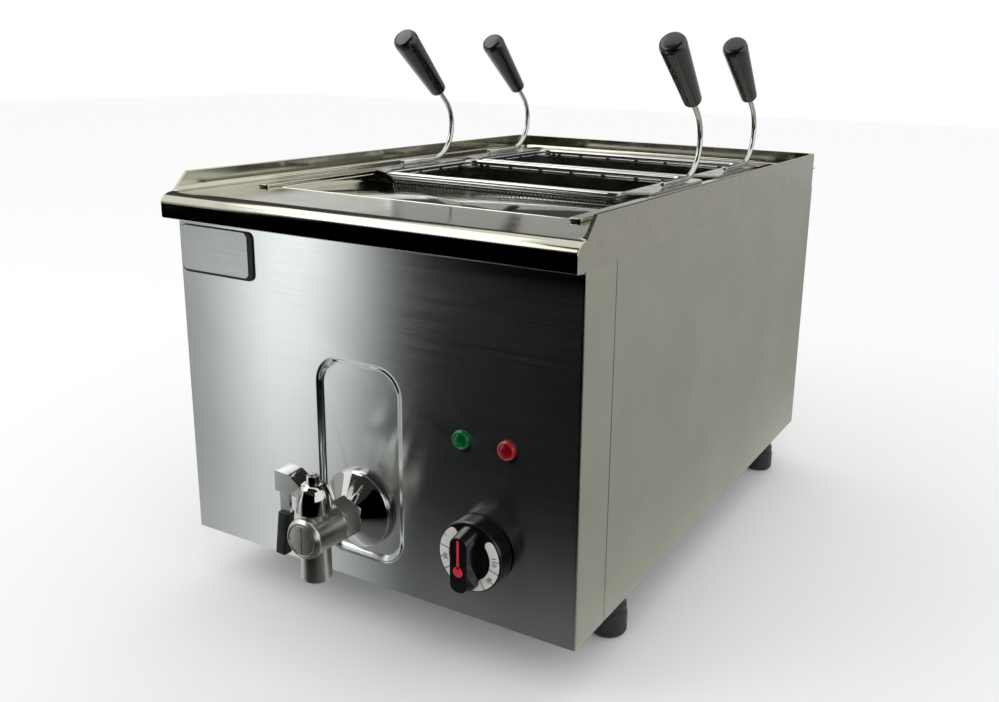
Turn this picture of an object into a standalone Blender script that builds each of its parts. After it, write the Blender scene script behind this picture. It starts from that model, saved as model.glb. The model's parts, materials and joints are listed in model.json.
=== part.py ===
"""Countertop electric pasta cooker: sheet steel body, boiling well, two lift-out baskets and a drain tap.

Places are given as x, depth behind the front panel and height above the body's underside.
"""
import math

import bmesh
import bpy
from mathutils import Matrix, Vector

# Body of sheet steel
BODY_WIDTH = 0.400
BODY_DEPTH = 0.581
BODY_HEIGHT = 0.293
SHEET = 0.0012
BEND_RADIUS = 0.0025
FRONT_RETURN = 0.0486
SEAM_GAP = 0.0008
TRAY_FLANGE = 0.016
TOUCH_GAP = 0.0003
CUT_OVERRUN = 0.004
MERGE_DISTANCE = 0.00001
CLEAR_FIT = 0.0003

# Ventilation slots in the base tray
VENT_WIDTH = 0.005
VENT_LENGTH = 0.060
VENT_PITCH = 0.014
VENT_COUNT = 5
VENT_DEPTH_SHARE = 0.45

# Top frame with rounded nose, deck and upstand
FRAME_PROUD = 0.001
FRAME_SHEET = 0.0015
FRAME_WALL = 0.003
NOSE_REACH = 0.016
NOSE_FACE_HEIGHT = 0.013
DECK_RISE = 0.0222
DECK_START_REACH = 0.0025
UPSTAND_RISE = 0.0383
UPSTAND_START = 0.0125
DECK_STEP = 0.00005
NOSE_LIP_CLEARANCE = 0.0005

# Well opening and its side rails
WELL_SIDE_MARGIN = 0.049
WELL_FRONT = 0.070
WELL_REAR_MARGIN = 0.033
WELL_CORNER = 0.007
WELL_LIP_DROP = 0.008
RAIL_WIDTH = 0.012
RAIL_THICKNESS = 0.0025
RAIL_EDGE_SETBACK = 0.001
RAIL_OVERRUN = 0.010
RAIL_CORNER = 0.003

# Boiling tank
TANK_SHEET = 0.0012
TANK_FLOOR_HEIGHT = 0.110
TANK_FLOOR_RADIUS = 0.015
TANK_FLANGE = 0.009

# Pressed panel behind the tap
RECESS_LEFT = 0.0484
RECESS_RIGHT = 0.0405
RECESS_BOTTOM = 0.0211
RECESS_TOP_MARGIN = 0.0984
RECESS_CORNER = 0.025
RECESS_SLOPE = 0.0065
RECESS_DEPTH = 0.003

# Drain pipe and tap
TAP_X = -0.007
TAP_HEIGHT = 0.0655
PIPE_RADIUS = 0.0105
PIPE_BORE = 0.0080
PIPE_TANK_DEPTH = 0.112
PIPE_BEND = 0.022
PIPE_COLLAR_RADIUS = 0.017
PIPE_COLLAR_THICKNESS = 0.003
ROSETTE_RADIUS = 0.0339
ROSETTE_BAND = 0.0055
ROSETTE_EDGE = 0.0025
ROSETTE_NECK_RADIUS = 0.0145
ROSETTE_NECK = 0.002
ROSETTE_REACH = 0.0165
ROSETTE_WALL = 0.0015
HEX_FLATS = 0.032
HEX_REACH = 0.0325
TAP_RADIUS = 0.0162
TAP_REACH = 0.068
TAP_RING_RADIUS = 0.0169
TAP_RING_WIDTH = 0.006
TAP_RING_CHAMFER = 0.0040
TAP_BORE = 0.0075
CHAMBER_RADIUS = 0.0130
STEM_REACH = 0.0518
BALL_RADIUS = 0.0125
SEAT_THICKNESS = 0.0034
PLUG_RECESS = 0.0004
PLUG_SLOT_WIDTH = 0.0016
PLUG_SLOT_DEPTH = 0.0009
SPOUT_RADIUS = 0.0122
SPOUT_BORE = 0.0085
SPOUT_CHAMFER = 0.002
SPOUT_END_HEIGHT = 0.0259
STEM_RADIUS = 0.004
STEM_THREAD_RADIUS = 0.003
STEM_BLADE_WIDTH = 0.0064
STEM_BLADE_THICKNESS = 0.0030
STEM_BLADE_LENGTH = 0.003
STEM_BOSS_RADIUS = 0.0100
STEM_BOSS_TOP = 0.0852

# Tap lever
HUB_RADIUS = 0.0140
HUB_SKIRT = 0.003
HUB_TOP_RADIUS = 0.0070
HUB_TOP_HEIGHT = 0.1080
LEVER_REACH = 0.0325
LEVER_WIDTH = 0.0165
LEVER_TOP_HEIGHT = 0.1145
LEVER_SKIRT = 0.0170
LEVER_SHEET = 0.0020
LEVER_NECK_SHARE = 0.55
LEVER_NUT_FLATS = 0.0092
LEVER_NUT_THICKNESS = 0.0065
STEM_END_HEIGHT = 0.1165
TANG_WIDTH = 0.0100
TANG_THICKNESS = 0.0028
TANG_INSET = 0.0025
TANG_END_HEIGHT = 0.054
SLEEVE_WIDTH = 0.0108
SLEEVE_THICKNESS = 0.0088
SLEEVE_TOP_HEIGHT = 0.0795
SLEEVE_END_HEIGHT = 0.0415
SLEEVE_LEAN = 0.0050
SLEEVE_EDGE = 0.0018

# Thermostat, its knob and its bulb
KNOB_SIDE_MARGIN = 0.0843
KNOB_HEIGHT = 0.0625
KNOB_RADIUS = 0.0289
KNOB_REACH = 0.0171
KNOB_BACK_GAP = 0.0015
KNOB_CHAMFER = 0.0015
KNOB_WALL = 0.0025
KNOB_HUB_RADIUS = 0.0080
KNOB_BAR_REACH = 0.0300
KNOB_BAR_WIDTH = 0.0115
KNOB_BAR_LENGTH = 0.0500
KNOB_BAR_DRAFT_SHARE = 0.82
SPINDLE_RADIUS = 0.0030
SPINDLE_INSIDE = 0.018
SPINDLE_REACH = 0.0125
SPINDLE_HOLE_RADIUS = 0.0050
THERMOSTAT_WIDTH = 0.044
THERMOSTAT_HEIGHT = 0.036
THERMOSTAT_DEPTH = 0.028
THERMOSTAT_FLANGE_WIDTH = 0.058
THERMOSTAT_FLANGE_THICKNESS = 0.002
CAPILLARY_RADIUS = 0.0010
CAPILLARY_OFFSET = 0.012
CAPILLARY_BACK = 0.006
BULB_RADIUS = 0.0030
BULB_LENGTH = 0.090
BULB_RISE = 0.021
BULB_BACK = 0.016
BULB_TAPER = 0.006

# Pilot lamps
LAMP_GREEN_OFFSET = -0.0187
LAMP_RED_OFFSET = 0.0223
LAMP_RISE = 0.0865
LAMP_RADIUS = 0.0077
LAMP_RIM = 0.0020
LAMP_DOME = 0.0032
LAMP_BARREL_RADIUS = 0.0058
LAMP_BARREL_LENGTH = 0.024
LAMP_COLLAR_RADIUS = 0.0085
LAMP_COLLAR_THICKNESS = 0.003
LAMP_TAB_WIDTH = 0.0048
LAMP_TAB_THICKNESS = 0.0008
LAMP_TAB_LENGTH = 0.009
LAMP_TAB_SPACING = 0.006

# Bare nameplate on the front panel
PLATE_SIDE_MARGIN = 0.0045
PLATE_WIDTH = 0.0840
PLATE_TOP_MARGIN = 0.0055
PLATE_HEIGHT = 0.0420
PLATE_THICKNESS = 0.0015
PLATE_CORNER = 0.004
PLATE_BORDER = 0.0022
PLATE_BORDER_RIGHT = 0.0065
PLATE_FACE_THICKNESS = 0.0006

# Heating element
ELEMENT_RADIUS = 0.0040
ELEMENT_RISE = 0.0125
ELEMENT_SIDE_MARGIN = 0.031
ELEMENT_RUNS = 6
ELEMENT_BEND_STEPS = 6
ELEMENT_FRONT_SETBACK = 0.050
ELEMENT_REAR_SETBACK = 0.030
ELEMENT_END_REACH = 0.022
ELEMENT_COLLAR_RADIUS = 0.0085
ELEMENT_COLLAR_LENGTH = 0.005

# Grid over the element
GRID_SIDE_MARGIN = 0.015
GRID_SHEET = 0.0015
GRID_RISE = 0.0335
GRID_SETBACK = 0.012
GRID_SLOTS = 8
GRID_SLOT_LENGTH = 0.210
GRID_SLOT_WIDTH = 0.014

# Safety cut-out, terminal block and cable gland
CUTOUT_X = 0.060
CUTOUT_DEPTH_SHARE = 0.516
CUTOUT_RADIUS = 0.0080
CUTOUT_THICKNESS = 0.0065
CUTOUT_TAB_LENGTH = 0.008
TERMINAL_SIDE_MARGIN = 0.090
TERMINAL_WIDTH = 0.060
TERMINAL_DEPTH = 0.020
TERMINAL_HEIGHT = 0.018
TERMINAL_WAYS = 5
TERMINAL_WAY_SHARE = 0.55
TERMINAL_SLOT_DROP = 0.006
TERMINAL_BACK = 0.030
GLAND_SIDE_MARGIN = 0.050
GLAND_HEIGHT = 0.045
GLAND_REACH = 0.016
GLAND_THREAD_RADIUS = 0.0080
GLAND_FLANGE_RADIUS = 0.0125
GLAND_FLANGE_THICKNESS = 0.004
GLAND_CAP_RADIUS = 0.0100
GLAND_CAP_CHAMFER = 0.0015
GLAND_BORE = 0.0045
GLAND_INSIDE = 0.010
GLAND_NUT_FLATS = 0.022
GLAND_NUT_THICKNESS = 0.0045

# Baskets
BASKET_REAR_MARGIN = 0.026
BASKET_SPACING = 0.167
BASKET_LENGTH = 0.160
BASKET_SIDE_MARGIN = 0.017
BASKET_OVER_GRID = 0.0085
BASKET_SHEET = 0.0012
BASKET_CORNER = 0.014
BASKET_FLOOR_RADIUS = 0.012
BASKET_TAPER = 0.003
RIM_RADIUS = 0.0030
RIM_CORNER = 0.016
FLANGE_THICKNESS = 0.0020
FLANGE_OVER_RAIL = 0.004
FLANGE_FRONT_SLOPE = 0.016
FLANGE_FRONT_SETBACK = 0.003
FLANGE_LENGTH = 0.145
FLANGE_END_RADIUS = 0.009

# Curled basket handles
HANDLE_SIDE_MARGIN = 0.0035
WIRE_RADIUS = 0.00275
WIRE_START = 0.054
WIRE_FLAT_END = 0.110
WIRE_BEND = 0.035
WIRE_TURN_DEGREES = 138.2
WIRE_TO_GRIP = 0.0165
GRIP_LENGTH = 0.083
GRIP_TOP_RADIUS = 0.0132
GRIP_LOW_RADIUS = 0.0086
GRIP_BORE_DEPTH = 0.034
GRIP_EDGE = 0.0028
GRIP_DOME = 0.0020

# Feet
FOOT_HEIGHT = 0.049
FOOT_SIDE_MARGIN = 0.0248
FOOT_FRONT_MARGIN = 0.1114
FOOT_REAR_MARGIN = 0.0503
FOOT_SLEEVE_RADIUS = 0.0140
FOOT_SLEEVE_HEIGHT = 0.0260
FOOT_COLLAR_RADIUS = 0.0154
FOOT_COLLAR_HEIGHT = 0.0040
FOOT_PAD_RADIUS = 0.0163
FOOT_CHAMFER = 0.0025
FOOT_STUD_RADIUS = 0.0050
FOOT_STUD_LENGTH = 0.0185
FOOT_BORE_CAP = 0.004

# Facets
ROUND_STEPS = 32
SMALL_ROUND_STEPS = 16
CORNER_STEPS = 4
NOSE_STEPS = 6
WIRE_SIDES = 2
SHARP_DEGREES = 30

# Places that follow from the sizes
FRONT_Y = (TAP_REACH - BODY_DEPTH - GLAND_REACH) / 2
HALF_BODY = BODY_WIDTH / 2
HALF_FRAME = HALF_BODY + FRAME_PROUD
DECK_HEIGHT = BODY_HEIGHT + DECK_RISE
UPSTAND_HEIGHT = BODY_HEIGHT + UPSTAND_RISE
RAIL_TOP = DECK_HEIGHT + TOUCH_GAP + RAIL_THICKNESS
WELL_WIDTH = BODY_WIDTH - 2 * WELL_SIDE_MARGIN
WELL_REAR = BODY_DEPTH - WELL_REAR_MARGIN
TANK_HALF_WIDTH = WELL_WIDTH / 2 + FRAME_SHEET + TOUCH_GAP
TANK_FRONT = WELL_FRONT - FRAME_SHEET - TOUCH_GAP
TANK_REAR = WELL_REAR + FRAME_SHEET + TOUCH_GAP
TANK_TOP = DECK_HEIGHT - FRAME_SHEET - TOUCH_GAP
FLANGE_BOTTOM = RAIL_TOP + TOUCH_GAP
FLANGE_TOP = FLANGE_BOTTOM + FLANGE_THICKNESS
FLANGE_OUTER = WELL_WIDTH / 2 + FLANGE_OVER_RAIL
HANDLE_X = WELL_WIDTH / 2 - HANDLE_SIDE_MARGIN
ELEMENT_HEIGHT = TANK_FLOOR_HEIGHT + ELEMENT_RISE
ELEMENT_HALF_SPAN = WELL_WIDTH / 2 - ELEMENT_SIDE_MARGIN
GRID_HEIGHT = TANK_FLOOR_HEIGHT + GRID_RISE
GRID_WIDTH = WELL_WIDTH - 2 * GRID_SIDE_MARGIN
BULB_HEIGHT = TANK_FLOOR_HEIGHT + BULB_RISE
BASKET_WIDTH = WELL_WIDTH - 2 * BASKET_SIDE_MARGIN
BASKET_BOTTOM_HEIGHT = GRID_HEIGHT + BASKET_OVER_GRID
REAR_BASKET_FRONT = WELL_REAR - BASKET_REAR_MARGIN - BASKET_LENGTH
BASKET_FRONTS = {"front": REAR_BASKET_FRONT - BASKET_SPACING, "rear": REAR_BASKET_FRONT}
RECESS_TOP = BODY_HEIGHT - RECESS_TOP_MARGIN
KNOB_X = HALF_BODY - KNOB_SIDE_MARGIN
LAMP_GREEN_X = KNOB_X + LAMP_GREEN_OFFSET
LAMP_RED_X = KNOB_X + LAMP_RED_OFFSET
LAMP_HEIGHT = KNOB_HEIGHT + LAMP_RISE
PLATE_LEFT = PLATE_SIDE_MARGIN - HALF_BODY
PLATE_BOTTOM = BODY_HEIGHT - PLATE_TOP_MARGIN - PLATE_HEIGHT
CUTOUT_DEPTH = BODY_DEPTH * CUTOUT_DEPTH_SHARE
TERMINAL_X = TERMINAL_SIDE_MARGIN - HALF_BODY
GLAND_X = GLAND_SIDE_MARGIN - HALF_BODY
FOOT_X = HALF_BODY - FOOT_SIDE_MARGIN
FOOT_DEPTHS = {"front": FOOT_FRONT_MARGIN, "rear": BODY_DEPTH - FOOT_REAR_MARGIN}
COLLECTION_NAME = "pasta_cooker"


def place(x, depth, height):
    """World position of a place on the body."""
    return Vector((x, FRONT_Y + depth, FOOT_HEIGHT + height))


def clear_scene():
    """Remove every object that the scene starts with."""
    for obj in list(bpy.data.objects):
        bpy.data.objects.remove(obj)


def make_collection():
    """Collection that holds the parts."""
    collection = bpy.data.collections.new(COLLECTION_NAME)
    bpy.context.scene.collection.children.link(collection)
    return collection


def make_material(name, colour, roughness, metallic):
    """Principled material with one colour."""
    material = bpy.data.materials.new(name)
    material.use_nodes = True
    shader = material.node_tree.nodes["Principled BSDF"]
    shader.inputs["Base Color"].default_value = (*colour, 1)
    shader.inputs["Roughness"].default_value = roughness
    shader.inputs["Metallic"].default_value = metallic
    return material


def link(obj):
    """Put an object in the parts' collection."""
    bpy.data.collections[COLLECTION_NAME].objects.link(obj)
    return obj


def mesh_object(name, bm, closed=True):
    """Object made from a bmesh; a closed one gets its faces turned outward."""
    bmesh.ops.remove_doubles(bm, verts=bm.verts, dist=MERGE_DISTANCE)
    if closed:
        bmesh.ops.recalc_face_normals(bm, faces=bm.faces)
    mesh = bpy.data.meshes.new(name)
    bm.to_mesh(mesh)
    bm.free()
    return link(bpy.data.objects.new(name, mesh))


def bake(obj, name=None):
    """Turn a curve, or a mesh with modifiers, into a plain mesh object in the same place."""
    name = name or obj.name
    depsgraph = bpy.context.evaluated_depsgraph_get()
    mesh = bpy.data.meshes.new_from_object(obj.evaluated_get(depsgraph))
    mesh.transform(obj.matrix_world)
    bm = bmesh.new()
    bm.from_mesh(mesh)
    bpy.data.meshes.remove(mesh)
    bpy.data.objects.remove(obj)
    return mesh_object(name, bm)


def finish(obj, material):
    """Give a finished piece its material and shading."""
    obj.data.materials.clear()
    obj.data.materials.append(material)
    obj.data.shade_smooth()
    obj.data.set_sharp_from_angle(angle=math.radians(SHARP_DEGREES))
    return obj


def boolean(obj, tool, operation):
    """Cut or join two closed solids and remove the tool."""
    modifier = obj.modifiers.new("boolean", "BOOLEAN")
    modifier.operation = operation
    modifier.solver = "EXACT"
    modifier.object = tool
    result = bake(obj)
    bpy.data.objects.remove(tool)
    return result


def cut(obj, *tools):
    """Cut several solids out of one."""
    for tool in tools:
        obj = boolean(obj, tool, "DIFFERENCE")
    return obj


def join(obj, *others):
    """Fuse several solids into one."""
    for other in others:
        obj = boolean(obj, other, "UNION")
    return obj


def box(name, xs, depths, heights):
    """Box between two limits on each axis."""
    low = place(xs[0], depths[0], heights[0])
    high = place(xs[1], depths[1], heights[1])
    bm = bmesh.new()
    bmesh.ops.create_cube(bm, size=1)
    bmesh.ops.scale(bm, vec=high - low, verts=bm.verts)
    bmesh.ops.translate(bm, vec=(high + low) / 2, verts=bm.verts)
    return mesh_object(name, bm)


AXES = {
    "up": Matrix.Identity(4),
    "front": Matrix.Rotation(math.pi / 2, 4, "X"),
    "side": Matrix.Rotation(math.pi / 2, 4, "Y"),
}


def rod(name, centre, radius, length, axis, segments=ROUND_STEPS):
    """Cylinder, or prism with few segments, centred on a place along an axis."""
    bm = bmesh.new()
    bmesh.ops.create_cone(bm, cap_ends=True, segments=segments, radius1=radius, radius2=radius, depth=length)
    bmesh.ops.transform(bm, matrix=Matrix.Translation(centre) @ AXES[axis], verts=bm.verts)
    return mesh_object(name, bm)


def rod_between(name, x, height, radius, depths, segments=ROUND_STEPS):
    """Cylinder that runs front to back between two depths."""
    centre = place(x, sum(depths) / 2, height)
    return rod(name, centre, radius, depths[1] - depths[0], "front", segments)


def post_between(name, x, depth, radius, heights, segments=ROUND_STEPS):
    """Upright cylinder between two heights."""
    centre = place(x, depth, sum(heights) / 2)
    return rod(name, centre, radius, heights[1] - heights[0], "up", segments)


def turned(name, profile, origin, axis, steps=ROUND_STEPS, closed=False):
    """Turned solid from a profile of radius and distance along the axis."""
    bm = bmesh.new()
    verts = [bm.verts.new((radius, 0, along)) for radius, along in profile]
    for first, second in zip(verts, verts[1:]):
        bm.edges.new((first, second))
    if closed:
        bm.edges.new((verts[-1], verts[0]))
    mesh = bpy.data.meshes.new(name)
    bm.to_mesh(mesh)
    bm.free()
    obj = link(bpy.data.objects.new(name, mesh))
    screw = obj.modifiers.new("turn", "SCREW")
    screw.steps = steps
    screw.render_steps = steps
    screw.use_merge_vertices = True
    screw.merge_threshold = MERGE_DISTANCE
    screw.use_normal_calculate = True
    obj.matrix_world = Matrix.Translation(origin) @ AXES[axis]
    bpy.context.view_layer.update()
    return bake(obj)


PLANES = {
    "plan": Matrix.Identity(4),
    "face": Matrix.Rotation(math.pi / 2, 4, "X"),
    "profile": Matrix(((0, 0, 1, 0), (1, 0, 0, 0), (0, 1, 0, 0), (0, 0, 0, 1))),
}


def outline_solid(name, outline, thickness, centre, plane, holes=()):
    """Flat outline, with any holes, made as thick as asked and set in one of the main planes."""
    curve = bpy.data.curves.new(name, "CURVE")
    curve.dimensions = "2D"
    curve.fill_mode = "BOTH"
    curve.extrude = thickness / 2
    for loop in (outline, *holes):
        spline = curve.splines.new("POLY")
        spline.points.add(len(loop) - 1)
        for point, (u, v) in zip(spline.points, loop):
            point.co = (u, v, 0, 1)
        spline.use_cyclic_u = True
    obj = link(bpy.data.objects.new(name, curve))
    obj.matrix_world = Matrix.Translation(centre) @ PLANES[plane]
    bpy.context.view_layer.update()
    return bake(obj)


def tube(name, points, radius, shares=None, resolution=WIRE_SIDES):
    """Solid wire along world points; shares scale its radius at each point."""
    curve = bpy.data.curves.new(name, "CURVE")
    curve.dimensions = "3D"
    curve.bevel_depth = radius
    curve.bevel_resolution = resolution
    curve.use_fill_caps = True
    spline = curve.splines.new("POLY")
    spline.points.add(len(points) - 1)
    for index, (target, point) in enumerate(zip(spline.points, points)):
        target.co = (*point, 1)
        target.radius = shares[index] if shares else 1
    return bake(link(bpy.data.objects.new(name, curve)))


def ring_tube(name, points, radius, resolution=WIRE_SIDES):
    """Closed wire ring along world points."""
    curve = bpy.data.curves.new(name, "CURVE")
    curve.dimensions = "3D"
    curve.bevel_depth = radius
    curve.bevel_resolution = resolution
    spline = curve.splines.new("POLY")
    spline.points.add(len(points) - 1)
    for target, point in zip(spline.points, points):
        target.co = (*point, 1)
    spline.use_cyclic_u = True
    return bake(link(bpy.data.objects.new(name, curve)))


def arc(centre, radius, start, end, steps):
    """Points of a flat arc, angles in degrees."""
    points = []
    for index in range(steps + 1):
        angle = math.radians(start + (end - start) * index / steps)
        points.append((centre[0] + radius * math.cos(angle), centre[1] + radius * math.sin(angle)))
    return points


def rounded_rectangle(left, right, low, high, radius, steps=CORNER_STEPS):
    """Counter-clockwise rectangle with round corners."""
    points = arc((right - radius, high - radius), radius, 0, 90, steps)
    points += arc((left + radius, high - radius), radius, 90, 180, steps)
    points += arc((left + radius, low + radius), radius, 180, 270, steps)
    points += arc((right - radius, low + radius), radius, 270, 360, steps)
    return points


def rounded_path(points, radius, steps=CORNER_STEPS):
    """Polyline whose inner corners are replaced by arcs."""
    result = [points[0]]
    for before, corner, after in zip(points, points[1:], points[2:]):
        centre = Vector(corner)
        back = (Vector(before) - centre).normalized()
        ahead = (Vector(after) - centre).normalized()
        half = back.angle(ahead) / 2
        reach = radius / math.tan(half)
        middle = centre + (back + ahead).normalized() * radius / math.sin(half)
        start = centre + back * reach - middle
        end = centre + ahead * reach - middle
        for index in range(steps + 1):
            share = index / steps
            result.append(tuple(middle + start.lerp(end, share).normalized() * radius))
    result.append(points[-1])
    return result


def sheet_outline(path, thickness):
    """Closed outline of a bent sheet whose middle follows a path."""
    vectors = [Vector(point) for point in path]
    left = []
    right = []
    for index, point in enumerate(vectors):
        ahead = (vectors[min(index + 1, len(vectors) - 1)] - point).normalized()
        back = (point - vectors[max(index - 1, 0)]).normalized()
        ahead = ahead if ahead.length else back
        back = back if back.length else ahead
        normal = Vector((-(ahead + back).y, (ahead + back).x)).normalized()
        stretch = normal.dot(Vector((-ahead.y, ahead.x)))
        offset = normal * thickness / 2 / stretch
        left.append(tuple(point + offset))
        right.append(tuple(point - offset))
    return left + right[::-1]


def loft(name, sections, open_top=False):
    """Skin over loops of world points that have equal counts; an open one faces its inside."""
    bm = bmesh.new()
    rings = [[bm.verts.new(point) for point in section] for section in sections]
    for ring, following in zip(rings, rings[1:]):
        count = len(ring)
        for index in range(count):
            after = (index + 1) % count
            bm.faces.new((ring[index], ring[after], following[after], following[index]))
    bm.faces.new(rings[-1])
    if not open_top:
        bm.faces.new(rings[0][::-1])
    return mesh_object(name, bm, closed=not open_top)


def thicken(obj, thickness, outward):
    """Give a skin that is open at the top its wall, outward or inward."""
    modifier = obj.modifiers.new("wall", "SOLIDIFY")
    modifier.thickness = thickness
    modifier.offset = -1 if outward else 1
    modifier.use_even_offset = True
    return bake(obj)


def face_loop(outline, depth):
    """Outline of x and height at a depth."""
    return [place(x, depth, height) for x, height in outline]


def plan_loop(outline, height):
    """Outline of x and depth at a height."""
    return [place(x, depth, height) for x, depth in outline]


def pivot(name, location, *children):
    """Empty on a joint's axis that carries the pieces which move there."""
    empty = link(bpy.data.objects.new(name, None))
    empty.location = location
    bpy.context.view_layer.update()
    for child in children:
        child.parent = empty
        child.matrix_parent_inverse = empty.matrix_world.inverted()
    return empty




def make_materials():
    """All materials of the appliance."""
    return {
        "brushed_front": make_material("brushed_front_steel", (0.60, 0.61, 0.60), 0.32, 1),
        "satin_side": make_material("satin_side_steel", (0.42, 0.41, 0.37), 0.42, 1),
        "frame": make_material("polished_frame_steel", (0.52, 0.51, 0.46), 0.25, 1),
        "bright": make_material("bright_basket_steel", (0.70, 0.70, 0.68), 0.18, 1),
        "galvanised": make_material("galvanised_steel", (0.45, 0.46, 0.46), 0.5, 1),
        "chrome": make_material("chrome_plate", (0.75, 0.75, 0.74), 0.08, 1),
        "satin_nickel": make_material("satin_nickel_brass", (0.50, 0.48, 0.43), 0.35, 1),
        "incoloy": make_material("element_sheath", (0.12, 0.12, 0.11), 0.5, 1),
        "copper": make_material("copper_capillary", (0.55, 0.28, 0.16), 0.35, 1),
        "brass": make_material("brass_pipe", (0.58, 0.42, 0.17), 0.35, 1),
        "ptfe": make_material("ptfe_seat", (0.85, 0.85, 0.82), 0.5, 0),
        "black_gloss": make_material("black_gloss_plastic", (0.010, 0.010, 0.010), 0.22, 0),
        "black_matt": make_material("black_matt_plastic", (0.015, 0.015, 0.015), 0.5, 0),
        "grey_plastic": make_material("grey_housing_plastic", (0.20, 0.20, 0.20), 0.5, 0),
        "green_lens": make_material("green_lens_plastic", (0.02, 0.45, 0.12), 0.15, 0),
        "red_lens": make_material("red_lens_plastic", (0.62, 0.04, 0.02), 0.15, 0),
        "plate_face": make_material("plate_face_aluminium", (0.62, 0.62, 0.60), 0.3, 1),
    }


def recess_outline(shrink):
    """Outline of the pressed recess, drawn in by an amount."""
    return rounded_rectangle(
        -RECESS_LEFT + shrink,
        RECESS_RIGHT - shrink,
        RECESS_BOTTOM + shrink,
        RECESS_TOP - shrink,
        RECESS_CORNER - shrink,
    )


def press_recess(panel):
    """Press the rounded recess into the front sheet."""
    back = loft(
        "recess_back",
        [
            face_loop(recess_outline(-SHEET), SHEET / 2),
            face_loop(recess_outline(-SHEET), SHEET),
            face_loop(recess_outline(RECESS_SLOPE - SHEET), RECESS_DEPTH + SHEET),
        ],
    )
    pocket = loft(
        "recess_pocket",
        [
            face_loop(recess_outline(0), -CUT_OVERRUN),
            face_loop(recess_outline(0), 0),
            face_loop(recess_outline(RECESS_SLOPE), RECESS_DEPTH),
        ],
    )
    return cut(join(panel, back), pocket)


def make_front_panel(materials):
    """Front sheet with side returns, pressed recess and holes for the controls."""
    middle = HALF_BODY - SHEET / 2
    path = [(-middle, FRONT_RETURN), (-middle, SHEET / 2), (middle, SHEET / 2), (middle, FRONT_RETURN)]
    outline = sheet_outline(rounded_path(path, BEND_RADIUS), SHEET)
    height = BODY_HEIGHT - TOUCH_GAP
    panel = outline_solid("front_panel", outline, height, place(0, 0, height / 2), "plan")
    panel = press_recess(panel)
    through = (-CUT_OVERRUN, RECESS_DEPTH + SHEET + CUT_OVERRUN)
    holes = [
        rod_between("pipe_hole", TAP_X, TAP_HEIGHT, PIPE_RADIUS + CLEAR_FIT, through, SMALL_ROUND_STEPS),
        rod_between("spindle_hole", KNOB_X, KNOB_HEIGHT, SPINDLE_HOLE_RADIUS, through, SMALL_ROUND_STEPS),
    ]
    for x in (LAMP_GREEN_X, LAMP_RED_X):
        holes.append(rod_between("lamp_hole", x, LAMP_HEIGHT, LAMP_BARREL_RADIUS + CLEAR_FIT, through, SMALL_ROUND_STEPS))
    return finish(cut(panel, *holes), materials["brushed_front"])


def make_body_wrap(materials):
    """Sides and rear bent from one sheet."""
    middle = HALF_BODY - SHEET / 2
    start = FRONT_RETURN + SEAM_GAP
    end = BODY_DEPTH - SHEET / 2
    path = [(middle, start), (middle, end), (-middle, end), (-middle, start)]
    outline = sheet_outline(rounded_path(path, BEND_RADIUS), SHEET)
    height = BODY_HEIGHT - TOUCH_GAP
    wrap = outline_solid("body_wrap", outline, height, place(0, 0, height / 2), "plan")
    through = (BODY_DEPTH - SHEET - CUT_OVERRUN, BODY_DEPTH + CUT_OVERRUN)
    radius = GLAND_THREAD_RADIUS + CLEAR_FIT
    hole = rod_between("gland_hole", GLAND_X, GLAND_HEIGHT, radius, through, SMALL_ROUND_STEPS)
    return finish(cut(wrap, hole), materials["satin_side"])


def make_base_tray(materials):
    """Bottom tray with turned-up flanges and ventilation slots."""
    half = HALF_BODY - SHEET - TOUCH_GAP
    front = SHEET + TOUCH_GAP
    rear = BODY_DEPTH - SHEET - TOUCH_GAP
    outline = rounded_rectangle(-half, half, front, rear, BEND_RADIUS)
    tray = outline_solid("base_tray", outline, TRAY_FLANGE, place(0, 0, TRAY_FLANGE / 2), "plan")
    inside = box(
        "tray_inside",
        (-half + SHEET, half - SHEET),
        (front + SHEET, rear - SHEET),
        (SHEET, TRAY_FLANGE + CUT_OVERRUN),
    )
    relief = box(
        "recess_relief",
        (-RECESS_LEFT - SHEET - TOUCH_GAP, RECESS_RIGHT + SHEET + TOUCH_GAP),
        (front - CUT_OVERRUN, front + RECESS_DEPTH),
        (RECESS_BOTTOM - SHEET - RECESS_SLOPE, TRAY_FLANGE + CUT_OVERRUN),
    )
    cutters = [inside, relief]
    middle = BODY_DEPTH * VENT_DEPTH_SHARE
    for index in range(VENT_COUNT):
        start = middle + (index - VENT_COUNT / 2) * VENT_PITCH
        for side in (-1, 1):
            centre = side * (HALF_BODY - VENT_LENGTH)
            ends = (centre - VENT_LENGTH / 2, centre + VENT_LENGTH / 2)
            cutters.append(box("vent", ends, (start, start + VENT_WIDTH), (-CUT_OVERRUN, SHEET + CUT_OVERRUN)))
    return finish(cut(tray, *cutters), materials["galvanised"])


def frame_side_outline():
    """Side view of the top frame: outside of the nose, slope of the upstand and rear."""
    path = nose_path()
    nose = sheet_outline(path, FRAME_SHEET)[1 : len(path) - 1]
    rear = [
        (UPSTAND_START, UPSTAND_HEIGHT),
        (BODY_DEPTH, UPSTAND_HEIGHT),
        (BODY_DEPTH, nose[0][1]),
    ]
    return nose + rear


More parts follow.
